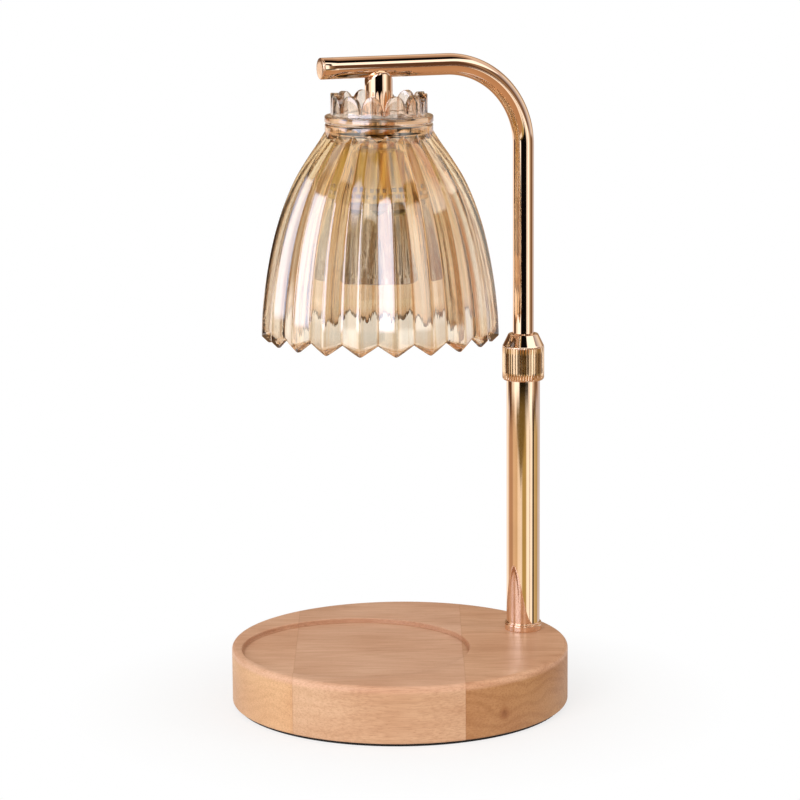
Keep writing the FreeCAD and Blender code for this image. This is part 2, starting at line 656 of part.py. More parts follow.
def edge_cutters():
    """Wedges that cut the lower edge into one point per flute, with a bevel on its outer side."""
    tip_radius = RIDGE_OUTLINE[0][1]
    half_pitch = tip_radius * math.tan(math.pi / FLUTES) - TIP_FLAT / 2.0
    start = tip_radius * 0.7
    bevel_start = tip_radius - FLUTE_DEPTH / 2.0 - EDGE_BEVEL
    low = TIP_Z - tip_radius / 2.0
    cutters = []
    for index in range(FLUTES):
        angle = FLUTE_PHASE + (index + 0.5) * 360.0 / FLUTES
        for radius, lean in ((start, 0.0), (bevel_start, 1.0)):
            points = [
                Vector(SHADE_X + radius, -half_pitch - TIP_FLAT, low),
                Vector(SHADE_X + radius, -half_pitch - TIP_FLAT, TIP_Z),
                Vector(SHADE_X + radius, -half_pitch, TIP_Z),
                Vector(SHADE_X + radius, 0, NOTCH_Z),
                Vector(SHADE_X + radius, half_pitch, TIP_Z),
                Vector(SHADE_X + radius, half_pitch + TIP_FLAT, TIP_Z),
                Vector(SHADE_X + radius, half_pitch + TIP_FLAT, low),
            ]
            points.append(points[0])
            length = tip_radius + 2.0 - radius
            wedge = Part.Face(Part.makePolygon(points)).extrude(Vector(length, 0, length * lean))
            cutters.append(turned_about_axis(wedge, SHADE_X, angle))
    return cutters


def petal_crown():
    """Ring of arched petals, each with a crease down its middle."""
    top = PETAL_ROOT_Z + PETAL_HEIGHT + 1.0
    petal_ring = polygon_prism([PETAL_RADIUS] * PETALS, PETAL_PHASE, FLANGE_TOP - 1.0, top, SHADE_X)
    arches = [rod(PETAL_RADIUS, FLANGE_TOP - 1.0, PETAL_ROOT_Z, SHADE_X)]
    ellipse = Part.Ellipse(Vector(SHADE_X, 0, PETAL_ROOT_Z + PETAL_HEIGHT),
                           Vector(SHADE_X, PETAL_HALF_WIDTH, PETAL_ROOT_Z),
                           Vector(SHADE_X, 0, PETAL_ROOT_Z))
    arch_face = Part.Face(Part.Wire(ellipse.toShape()))
    for index in range(PETALS):
        arch = arch_face.extrude(Vector(PETAL_RADIUS + 2.0, 0, 0))
        arches.append(turned_about_axis(arch, SHADE_X, PETAL_PHASE + index * 360.0 / PETALS))
    crown = petal_ring.common(arches[0].fuse(arches[1:]))
    return crown.cut(rod(PETAL_INNER_RADIUS, PLATE_TOP, top + 1.0, SHADE_X))


def shade_cavity():
    """Smooth inner face of the skirt, a wall's thickness inside the valleys."""
    inset = FLUTE_DEPTH + SHADE_WALL
    outline = [(radius - inset, PLATE_TOP - drop) for drop, radius in RIDGE_OUTLINE[:-1]]
    outline.insert(0, (outline[0][0], TIP_Z - EDGE_BEVEL))
    outline.insert(0, (0.0, TIP_Z - EDGE_BEVEL))
    outline.append((RIDGE_OUTLINE[-1][1] - inset, PLATE_BOTTOM))
    outline.append((0.0, PLATE_BOTTOM))
    return turned(outline, SHADE_X)


def glass_shade():
    flange = rod(FLANGE_RADIUS, FLANGE_BOTTOM, FLANGE_TOP, SHADE_X)
    groove_outline = [
        (FLANGE_RADIUS + 1.0, FLANGE_GROOVE_Z - FLANGE_GROOVE - 1.0),
        (FLANGE_RADIUS - FLANGE_GROOVE, FLANGE_GROOVE_Z),
        (FLANGE_RADIUS + 1.0, FLANGE_GROOVE_Z + FLANGE_GROOVE + 1.0),
    ]
    flange = flange.cut(turned(groove_outline, SHADE_X))
    body = flute_star().fuse(flange)
    body = body.cut([
        shade_cavity(),
        rod(PETAL_INNER_RADIUS, PLATE_TOP, FLANGE_TOP + 1.0, SHADE_X),
        rod(PLATE_HOLE_RADIUS, PLATE_BOTTOM - 1.0, PLATE_TOP + 1.0, SHADE_X),
    ])
    body = body.cut(edge_cutters())
    return body.fuse(petal_crown())


def holder_cup():
    bottom = CUP_TOP - CUP_HEIGHT
    body = turned([
        (0.0, bottom), (CUP_RADIUS, bottom), (CUP_RADIUS, CUP_TOP - CUP_TOP_ROUND),
        (CUP_RADIUS - CUP_TOP_ROUND * 0.3, CUP_TOP - CUP_TOP_ROUND * 0.3),
        (CUP_RADIUS - CUP_TOP_ROUND, CUP_TOP), (0.0, CUP_TOP),
    ], SHADE_X)
    inner_radius = CUP_RADIUS - CUP_WALL
    inner_top = CUP_TOP - CUP_WALL
    inner = turned([
        (0.0, bottom - 1.0), (inner_radius, bottom - 1.0), (inner_radius, CUP_TOP - CUP_TOP_ROUND),
        (CUP_RADIUS - CUP_TOP_ROUND, inner_top), (0.0, inner_top),
    ], SHADE_X)
    cuts = [inner, rod(NIPPLE_RADIUS + HOLE_PLAY, bottom, CUP_TOP + 1.0, SHADE_X)]
    half = VENT_SIZE / 2.0
    for row in range(VENT_ROWS):
        low = bottom + VENT_LOW + row * VENT_ROW_PITCH
        for index in range(VENT_COUNT):
            vent = block(SHADE_X + CUP_RADIUS - 3.0, SHADE_X + CUP_RADIUS + 1.0, -half, half,
                         low, low + VENT_SIZE)
            turn = (index + row / VENT_ROWS) * 360.0 / VENT_COUNT
            cuts.append(turned_about_axis(vent, SHADE_X, turn))
    return body.cut(cuts)


def bracket_leg_x():
    return HOLDER_RADIUS + HOLE_PLAY


def holder_bracket():
    """Steel strap over the lampholder, with two legs down its sides."""
    inner = bracket_leg_x()
    outer = inner + BRACKET_THICKNESS
    half = BRACKET_WIDTH / 2.0
    strap = block(SHADE_X - outer, SHADE_X + outer, -half, half, BRACKET_NUT_TOP, BRACKET_TOP)
    legs = []
    for side in (-1, 1):
        low_x, high_x = sorted((SHADE_X + side * inner, SHADE_X + side * outer))
        legs.append(block(low_x, high_x, -half, half, BRACKET_TOP - BRACKET_LEG, BRACKET_TOP))
    body = strap.fuse(legs).removeSplitter()
    hole = rod(NIPPLE_RADIUS + HOLE_PLAY, BRACKET_NUT_TOP - 1.0, BRACKET_TOP + 1.0, SHADE_X)
    screw_hole = rod_along_x(SMALL_SCREW_RADIUS + SCREW_PLAY, SHADE_X - outer - 1.0,
                             SHADE_X + outer + 1.0, HOLDER_SCREW_Z)
    return body.cut([hole, screw_hole])


def bracket_nut():
    bottom = BRACKET_NUT_TOP - BRACKET_NUT_THICKNESS
    return hex_nut(BRACKET_NUT_FLATS, NIPPLE_RADIUS + THREAD_PLAY, bottom, BRACKET_NUT_TOP, SHADE_X)


def holder_screws():
    """Two screws that hold the bracket's legs to the lampholder."""
    outer = bracket_leg_x() + BRACKET_THICKNESS
    inner = HOLDER_RACE_OUTER + 1.0
    right = rod_along_x(SMALL_SCREW_RADIUS, SHADE_X + inner, SHADE_X + outer, HOLDER_SCREW_Z)
    head = rod_along_x(SMALL_SCREW_RADIUS * 2.0, SHADE_X + outer, SHADE_X + outer + 1.5, HOLDER_SCREW_Z)
    screw = right.fuse(head)
    return Part.makeCompound([screw, turned_about_axis(screw, SHADE_X, 180.0)])


def lampholder():
    """Round ceramic holder with two keyholes, whose pins turn and lock in a race behind its face."""
    body = rod(HOLDER_RADIUS, HOLDER_BOTTOM, HOLDER_TOP, SHADE_X)
    body = rounded_rim(body, HOLDER_RADIUS, HOLDER_BOTTOM, 0.8)
    race_low = HOLDER_BOTTOM + HOLDER_FACE
    race = ring(HOLDER_RACE_OUTER, HOLDER_RACE_INNER, race_low, race_low + HOLDER_RACE_DEPTH, SHADE_X)
    mid = PIN_PITCH / 2.0
    half = PIN_RADIUS + PIN_PLAY
    slot_ring = ring(mid + half, mid - half, HOLDER_BOTTOM - 1.0, race_low + 1.0, SHADE_X)
    cuts = [race]
    for turn in (0.0, 180.0):
        sector = Part.makeCylinder(HOLDER_RADIUS, 10.0, Vector(SHADE_X, 0, HOLDER_BOTTOM - 2.0),
                                   UP, TWIST_ANGLE)
        slot = slot_ring.common(turned_about_axis(sector, SHADE_X, turn - TWIST_ANGLE))
        lock_end = rod(half, HOLDER_BOTTOM - 1.0, race_low + 1.0, SHADE_X + mid)
        key = rod(PIN_HEAD_RADIUS + PIN_PLAY, HOLDER_BOTTOM - 1.0, race_low + 1.0, SHADE_X + mid)
        cuts.append(slot)
        cuts.append(turned_about_axis(lock_end, SHADE_X, turn))
        cuts.append(turned_about_axis(key, SHADE_X, turn - TWIST_ANGLE))
    inner = HOLDER_RACE_OUTER + 1.0 - HOLE_PLAY
    for side in (-1, 1):
        low_x, high_x = sorted((SHADE_X + side * inner, SHADE_X + side * (HOLDER_RADIUS + 1.0)))
        cuts.append(rod_along_x(SMALL_SCREW_RADIUS + SCREW_PLAY, low_x, high_x, HOLDER_SCREW_Z))
        cuts.append(rod(CORE_RADIUS + THREAD_PLAY, race_low + HOLDER_RACE_DEPTH - 1.0,
                        HOLDER_TOP + 1.0, SHADE_X, side * CORE_PITCH / 2.0))
    return body.cut(cuts)


def arm_lead():
    """Two-core lead through the upper tube and neck, split into its cores at the lampholder."""
    elbow_x = SHADE_X + LEAD_BEND
    elbow_z = ARM_Z - LEAD_BEND
    split_z = NIPPLE_BOTTOM + 3.0
    run = arm_bar(LEAD_RADIUS, UPPER_TUBE_BOTTOM, elbow_x)
    elbow = quarter_bend(LEAD_RADIUS, LEAD_BEND, Vector(elbow_x, 0, elbow_z),
                         Vector(elbow_x, 0, ARM_Z), Vector(0, -1, 0))
    drop = rod(LEAD_RADIUS, split_z, elbow_z, SHADE_X)
    cores = []
    for side in (-1, 1):
        core_bottom = HOLDER_TOP - 4.0
        cores.append(rod(CORE_RADIUS, core_bottom, split_z + 1.0, SHADE_X, side * CORE_PITCH / 2.0))
    return run.fuse([elbow, drop] + cores).removeSplitter()


def bulb_reflector():
    """Mirrored bowl with a short straight rim and a closed neck."""
    rim_top = BULB_FRONT_Z + BULB_RIM_HEIGHT
    rise = BULB_BACK_Z - rim_top
    outer = [(0.0, BULB_FRONT_Z), (BULB_RADIUS, BULB_FRONT_Z)]
    inner = [(0.0, BULB_FRONT_Z - 1.0), (BULB_RADIUS - BULB_WALL, BULB_FRONT_Z - 1.0)]
    for share in (0.0, 0.2, 0.4, 0.6, 0.8, 1.0):
        spread = math.sqrt(1.0 - share * (1.0 - (BULB_NECK_RADIUS / BULB_RADIUS) ** 2))
        z = rim_top + rise * share
        outer.append((BULB_RADIUS * spread, z))
        inner.append((BULB_RADIUS * spread - BULB_WALL, min(z, BULB_BACK_Z - BULB_WALL)))
    outer.append((0.0, BULB_BACK_Z))
    inner.append((0.0, BULB_BACK_Z - BULB_WALL))
    return turned(outer, SHADE_X).cut(turned(inner, SHADE_X))


def bulb_base():
    shoulder = BULB_BACK_Z + 2.0
    outline = [
        (0.0, BULB_BACK_Z), (BULB_NECK_RADIUS, BULB_BACK_Z), (BULB_NECK_RADIUS, shoulder),
        (BULB_BASE_TOP_RADIUS, shoulder + 1.5), (BULB_BASE_TOP_RADIUS, BULB_BASE_TOP),
        (0.0, BULB_BASE_TOP),
    ]
    return turned(outline, SHADE_X)


def bulb_pins():
    pins = []
    neck_top = BULB_BASE_TOP + PIN_NECK_LENGTH
    for side in (-1, 1):
        x = SHADE_X + side * PIN_PITCH / 2.0
        neck = rod(PIN_RADIUS, BULB_BASE_TOP, neck_top, x)
        pins.append(neck.fuse(rod(PIN_HEAD_RADIUS, neck_top, neck_top + PIN_HEAD_LENGTH, x)))
    return Part.makeCompound(pins)


def bulb_lens():
    """Front glass, with ring facets pressed in its inner face."""
    low = BULB_FRONT_Z + LENS_INSET
    radius = BULB_RADIUS - BULB_WALL - THREAD_PLAY
    return rod(radius, low, low + LENS_THICKNESS, SHADE_X)


def bulb_capsule():
    back = BULB_BACK_Z - BULB_WALL
    stem_bottom = back - CAPSULE_STEM_LENGTH
    low = stem_bottom - CAPSULE_LENGTH
    capsule = rod(CAPSULE_RADIUS, low, stem_bottom, SHADE_X)
    capsule = rounded_rim(capsule, CAPSULE_RADIUS, low, CAPSULE_RADIUS * 0.8)
    return capsule.fuse(rod(CAPSULE_STEM_RADIUS, stem_bottom, back, SHADE_X))


PIECES = (
    wood_base, foot_pad, weight_plate, weight_screws, pole_stud, stud_nut, stud_washer,
    foot_collar, tube_plug, lower_tube, collet, lock_nut, cord_bush, terminal_block,
    terminal_screw, base_lead, pole_lead, upper_tube, guide_sleeve, sleeve_clips, arm_end_cap,
    neck_stub, neck_nipple, upper_gasket, lower_gasket, clamp_washer, clamp_nut, glass_shade,
    holder_cup, holder_bracket, bracket_nut, holder_screws, lampholder, arm_lead,
    bulb_reflector, bulb_base, bulb_pins, bulb_lens, bulb_capsule,
)

for piece in PIECES:
    shape = piece()
    shape.exportStep("parts/" + piece.__name__ + ".step")
    box = shape.BoundBox
    print(piece.__name__, "solids", len(shape.Solids), "valid", shape.isValid(),
          "volume", round(shape.Volume), "z", round(box.ZMin, 2), round(box.ZMax, 2))
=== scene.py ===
import math

import bmesh
import bpy
from mathutils import Matrix, Vector


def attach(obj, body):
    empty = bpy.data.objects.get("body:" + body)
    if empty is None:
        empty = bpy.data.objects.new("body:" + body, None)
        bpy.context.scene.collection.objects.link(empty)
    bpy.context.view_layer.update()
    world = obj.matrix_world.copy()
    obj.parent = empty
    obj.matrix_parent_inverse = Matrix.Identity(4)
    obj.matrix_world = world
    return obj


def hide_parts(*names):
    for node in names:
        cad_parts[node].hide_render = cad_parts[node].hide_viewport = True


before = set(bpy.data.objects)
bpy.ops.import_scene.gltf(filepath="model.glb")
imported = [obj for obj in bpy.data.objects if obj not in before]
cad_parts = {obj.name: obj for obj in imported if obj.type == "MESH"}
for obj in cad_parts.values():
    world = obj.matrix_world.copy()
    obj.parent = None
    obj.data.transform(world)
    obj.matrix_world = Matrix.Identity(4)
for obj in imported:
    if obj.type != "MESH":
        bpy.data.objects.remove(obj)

MM = 0.001
TAU = 2.0 * math.pi
FULL, ZERO = (1.0, 1.0, 1.0), (0.0, 0.0, 0.0)

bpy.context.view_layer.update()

# Sizes of the lamp in millimetres
BASE_R, BASE_LOW, BASE_TOP = 80.0, 1.5, 28.5
BASE_LOW_ROUND, BASE_TOP_ROUND = 1.0, 2.0
DISH_X, DISH_R, DISH_FLOOR = -22.5, 53.85, 26.2
DISH_EDGE_ROUND, DISH_FLOOR_ROUND = 0.7, 0.8
BOARD_TURN, BOARD_JOINTS, KNOT = -21.87, (-49.4, 29.8), (20.4, -77.3, 11.5)
INLET_Z, INLET_R, INLET_END_X = 9.0, 4.15, 73.0
INLET_SEAT_R, INLET_SEAT_X = 6.2, 78.1
POLE_X = 64.4
LOWER_TUBE_R, LOWER_TUBE_LOW, LOWER_TUBE_TOP = 8.0, 29.7, 156.0
UPPER_TUBE_R, UPPER_TUBE_LOW, TUBE_WALL = 5.0, 89.0, 1.0
NUT_LOW, NUT_R, NUT_H, GRIP_H = 151.3, 10.0, 22.0, 16.5
NUT_RIBS, NUT_GROOVE, NUT_BORE = 48, 0.34, 5.3
ARM_Z, BEND_R, ARM_END_X = 302.7, 39.2, -37.5
SHADE_X = -8.7
NECK_R, NECK_BORE, NECK_LOW, NECK_ARCH, NECK_BORE_TOP = 6.5, 5.1, 279.5, 294.0, 292.0
PLATE_TOP, PLATE_LOW = 278.5, 272.0
FLANGE_R, FLANGE_TOP = 25.1, 280.5
GROOVE_Z = 276.9
RIDGE_OUTLINE = (
    (174.5, 56.2), (190.0, 55.5), (207.0, 53.3), (224.0, 49.8), (238.0, 45.4),
    (250.0, 40.2), (260.0, 34.1), (268.0, 28.6), (274.4, 24.6),
)
FLUTES, FLUTE_PHASE, FLUTE_DEPTH, SHADE_WALL = 20, 4.2, 2.6, 2.4
TIP_Z, NOTCH_Z, BEVEL = 175.3, 181.0, 2.2
PETALS, PETAL_R, PETAL_IN_R = 12, 22.7, 18.8
PETAL_ROOT, PETAL_HALF, PETAL_H = 282.5, 5.3, 8.0
PLATE_BORE, CAVITY_TOP = 5.6, 270.4
CUP_R, CUP_LOW, CUP_TOP, CUP_WALL, CUP_ROUND, CUP_BORE = 18.5, 241.0, 266.0, 0.8, 2.5, 5.4
CUP_VENTS = 24
BULB_R, BULB_FRONT, BULB_BACK, BULB_NECK = 24.8, 204.5, 237.0, 12.3
BULB_RIM, BULB_WALL, BULB_FACETS, BULB_ROWS, FACET_STEPS = 3.5, 1.2, 24, 9, 8
LENS_INSET, LENS_DEPTH, LENS_RINGS = 1.3, 1.7, 14

CAMERA_AZ, CAMERA_EL, CAMERA_DISTANCE = -21.87, 10.33, 1483.12
CAMERA_AIM_Z, CAMERA_FOCAL, CAMERA_ROLL = 150.0, 141.90, -0.38
CAMERA_SHIFT_X, CAMERA_SHIFT_Y = 0.00224, -0.0109


# Node helpers
def new_material(name):
    material = bpy.data.materials.new(name)
    material.use_nodes = True
    tree = material.node_tree
    shader = tree.nodes["Principled BSDF"]
    return material, tree, shader


def add(tree, kind, **values):
    node = tree.nodes.new(kind)
    for key, value in values.items():
        setattr(node, key, value)
    return node


def fill(tree, node, values):
    """Link a node's inputs to other nodes' outputs, or set them to numbers and colours."""
    for key, value in values.items():
        socket = node.inputs[key]
        if isinstance(value, bpy.types.NodeSocket):
            tree.links.new(value, socket)
        elif socket.type == "RGBA":
            socket.default_value = (*value, 1.0)
        else:
            socket.default_value = value
    return node


def math_node(tree, operation, *values):
    node = add(tree, "ShaderNodeMath", operation=operation)
    return fill(tree, node, dict(enumerate(values))).outputs[0]


def times(tree, a, b):
    return math_node(tree, "MULTIPLY", a, b)


def plus(tree, a, b):
    return math_node(tree, "ADD", a, b)


def vector_node(tree, operation, *values):
    node = add(tree, "ShaderNodeVectorMath", operation=operation)
    fill(tree, node, dict(enumerate(values)))
    return node.outputs["Value" if operation in ("DOT_PRODUCT", "DISTANCE", "LENGTH") else "Vector"]


def noise(tree, vector, scale, detail=3.0, roughness=0.5):
    node = add(tree, "ShaderNodeTexNoise")
    fill(tree, node, {"Vector": vector, "Scale": scale, "Detail": detail, "Roughness": roughness})
    return node.outputs["Fac"]


def ramp(tree, fac, stops):
    node = add(tree, "ShaderNodeValToRGB")
    elements = node.color_ramp.elements
    while len(elements) > 1:
        elements.remove(elements[-1])
    elements[0].position = stops[0][0]
    elements[0].color = (*stops[0][1], 1.0)
    for position, color in stops[1:]:
        element = elements.new(position)
        element.color = (*color, 1.0)
    tree.links.new(fac, node.inputs[0])
    return node.outputs[0]


def mix_color(tree, fac, a, b, blend="MIX"):
    node = add(tree, "ShaderNodeMix", data_type="RGBA", blend_type=blend)
    return fill(tree, node, {0: fac, 6: a, 7: b}).outputs[2]


def tint(tree, fac, a, b):
    return mix_color(tree, fac, a, b, "MULTIPLY")


def mix_shader(tree, fac, a, b):
    return fill(tree, add(tree, "ShaderNodeMixShader"), {0: fac, 1: a, 2: b}).outputs[0]


def object_point(tree):
    return add(tree, "ShaderNodeTexCoord").outputs["Object"]


def stretched(tree, vector, scale):
    node = add(tree, "ShaderNodeMapping")
    return fill(tree, node, {"Vector": vector, "Scale": scale}).outputs[0]


def bumped(tree, height, strength, distance):
    node = add(tree, "ShaderNodeBump")
    return fill(tree, node, {"Strength": strength, "Distance": distance, "Height": height}).outputs[0]


def linear(red, green, blue):
    """Linear colour from 0-255 display values."""
    out = []
    for value in (red, green, blue):
        value /= 255.0
        out.append(value / 12.92 if value <= 0.04045 else ((value + 0.055) / 1.055) ** 2.4)
    return tuple(out)


# Materials
def wood_material():
    """Beech boards joined end to end, with fine long grain, soft figure and a small knot; the sides carry
    painted shade, darkest on the right board, and the dish wall a painted shadow.
    """
    material, tree, shader = new_material("beech")
    point = object_point(tree)
    turn = math.radians(BOARD_TURN)
    along = vector_node(tree, "DOT_PRODUCT", point, (math.cos(turn), math.sin(turn), 0.0))
    across = vector_node(tree, "DOT_PRODUCT", point, (-math.sin(turn), math.cos(turn), 0.0))
    height = vector_node(tree, "DOT_PRODUCT", point, (0.0, 0.0, 1.0))
    left_joint, right_joint = (math_node(tree, "GREATER_THAN", along, joint * MM) for joint in BOARD_JOINTS)
    # 0, 1 and 2 for the left, middle and right boards
    board = plus(tree, left_joint, right_joint)
    combine = add(tree, "ShaderNodeCombineXYZ")
    board_point = fill(tree, combine, {0: along, 1: plus(tree, across, times(tree, board, 0.37)),
                                       2: plus(tree, height, times(tree, board, 0.19))}).outputs[0]
    knot = vector_node(tree, "DISTANCE", point, tuple(value * MM for value in KNOT))
    knot_pull = math_node(tree, "DIVIDE", 0.000045, plus(tree, knot, 0.004))
    figure = noise(tree, stretched(tree, board_point, (9.0, 34.0, 34.0)), 1.0, 2.0, 0.45)
    ring_height = plus(tree, height, times(tree, figure, 0.030))
    ring_height = plus(tree, ring_height, knot_pull)
    ring_height = plus(tree, ring_height, times(tree, across, 0.13))
    rings = math_node(tree, "SINE", times(tree, ring_height, 1150.0))
    rings = times(tree, plus(tree, rings, 1.0), 0.5)
    fine = noise(tree, stretched(tree, board_point, (60.0, 1500.0, 1500.0)), 1.0, 3.0, 0.6)
    flecks = noise(tree, stretched(tree, board_point, (420.0, 2600.0, 2600.0)), 1.0, 1.0, 0.5)
    cloud = noise(tree, stretched(tree, board_point, (16.0, 26.0, 26.0)), 1.0, 2.0, 0.5)
    pale = linear(233, 189, 154)
    warm = linear(211, 160, 123)
    tone = ramp(tree, cloud, [(0.30, warm), (0.68, pale)])
    grain = ramp(tree, fine, [(0.32, (0.80, 0.74, 0.68)), (0.60, FULL)])
    tone = tint(tree, 0.85, tone, grain)
    ring_tint = ramp(tree, rings, [(0.0, (0.86, 0.80, 0.74)), (0.55, FULL)])
    # Sides and top get their own board tints. The sides' tints carry the boards' tones plus painted shade:
    # darker than the top and darkest on the right board.
    side_tone_and_painted_shade = ramp(tree, math_node(tree, "DIVIDE", board, 2.0),
                     [(0.0, (0.97, 1.01, 0.90)), (0.5, (0.82, 0.84, 0.82)), (1.0, (0.62, 0.52, 0.34))])
    top_tint = ramp(tree, math_node(tree, "DIVIDE", board, 2.0),
                    [(0.0, (0.98, 1.00, 1.06)), (0.5, (0.93, 0.94, 1.00)), (1.0, (0.89, 0.86, 0.84))])
    # Lengths in metres are multiplied up to fill a ramp, which runs from 0 to 1
    on_top = ramp(tree, times(tree, height, 10.0), [(0.245, ZERO), (0.262, FULL)])
    board_tone_and_painted_shade = mix_color(tree, on_top, side_tone_and_painted_shade, top_tint)
    ring_strength = plus(tree, times(tree, right_joint, 0.35), 0.32)
    tone = tint(tree, ring_strength, tone, ring_tint)
    tone = tint(tree, 1.0, tone, board_tone_and_painted_shade)
    flat = vector_node(tree, "MULTIPLY", point, (1.0, 1.0, 0.0))
    from_dish = vector_node(tree, "DISTANCE", flat, (DISH_X * MM, 0.0, 0.0))
    # Painted shadow on the dish's routed wall: a dark band around the dish's edge, on the top only.
    wall = ramp(tree, times(tree, from_dish, 10.0), [
        (0.525, FULL), (0.532, (0.66, 0.55, 0.47)), (0.5385, (0.62, 0.50, 0.42)), (0.541, FULL)])
    tone = tint(tree, times(tree, on_top, 0.8), tone, wall)
    fleck_tint = ramp(tree, flecks, [(0.26, (0.78, 0.66, 0.56)), (0.36, FULL)])
    tone = tint(tree, 0.7, tone, fleck_tint)
    knot_tint = ramp(tree, times(tree, knot, 100.0),
                     [(0.10, (0.55, 0.38, 0.26)), (0.22, (0.80, 0.68, 0.58)), (0.42, FULL)])
    tone = tint(tree, 0.8, tone, knot_tint)
    for joint in BOARD_JOINTS:
        gap = math_node(tree, "ABSOLUTE", math_node(tree, "SUBTRACT", along, joint * MM))
        seam = ramp(tree, times(tree, gap, 1000.0), [(0.10, (0.80, 0.70, 0.62)), (0.32, FULL)])
        tone = tint(tree, 0.5, tone, seam)
    rough = ramp(tree, fine, [(0.3, (0.52, 0.52, 0.52)), (0.7, (0.40, 0.40, 0.40))])
    fill(tree, shader, {"Base Color": tone, "Roughness": rough, "Specular IOR Level": 0.42,
                        "Coat Weight": 0.22, "Coat Roughness": 0.24,
                        "Normal": bumped(tree, fine, 0.18, 0.0002)})
    return material


def metal_material(name, color, roughness, brushed=0.0, axis=(1.0, 1.0, 1.0)):
    material, tree, shader = new_material(name)
    point = object_point(tree)
    cloud = noise(tree, point, 90.0, 3.0)
    tone = ramp(tree, cloud, [(0.3, tuple(c * 0.93 for c in color)), (0.7, color)])
    smear = noise(tree, stretched(tree, point, axis), 400.0, 4.0)
    low = max(roughness - 0.01, 0.02)
    high = roughness * 1.1 + 0.005 + brushed * 0.1
    rough = ramp(tree, smear, [(0.35, (low, low, low)), (0.75, (high, high, high))])
    fill(tree, shader, {"Base Color": tone, "Metallic": 1.0, "Roughness": rough})
    if brushed:
        fill(tree, shader, {"Normal": bumped(tree, smear, brushed, 0.00004)})
    return material


def plain_material(name, color, roughness, grain_scale, grain, specular=0.5, sheen=0.0):
    material, tree, shader = new_material(name)
    point = object_point(tree)
    speck = noise(tree, point, grain_scale, 3.0)
    tone = ramp(tree, speck, [(0.3, tuple(c * 0.82 for c in color)), (0.7, color)])
    rough = ramp(tree, speck, [(0.3, (roughness + 0.08,) * 3), (0.7, (roughness,) * 3)])
    fill(tree, shader, {"Base Color": tone, "Roughness": rough, "Specular IOR Level": specular,
                        "Sheen Weight": sheen, "Normal": bumped(tree, speck, grain, 0.0001)})
    return material


def glass_material(name, color, ior):
    material, tree, shader = new_material(name)
    cloud = noise(tree, object_point(tree), 28.0, 2.0)
    tone = ramp(tree, cloud, [(0.3, tuple(c * 0.97 for c in color)), (0.7, color)])
    fill(tree, shader, {"Base Color": tone, "Transmission Weight": 1.0, "IOR": ior, "Roughness": 0.0})
    return material


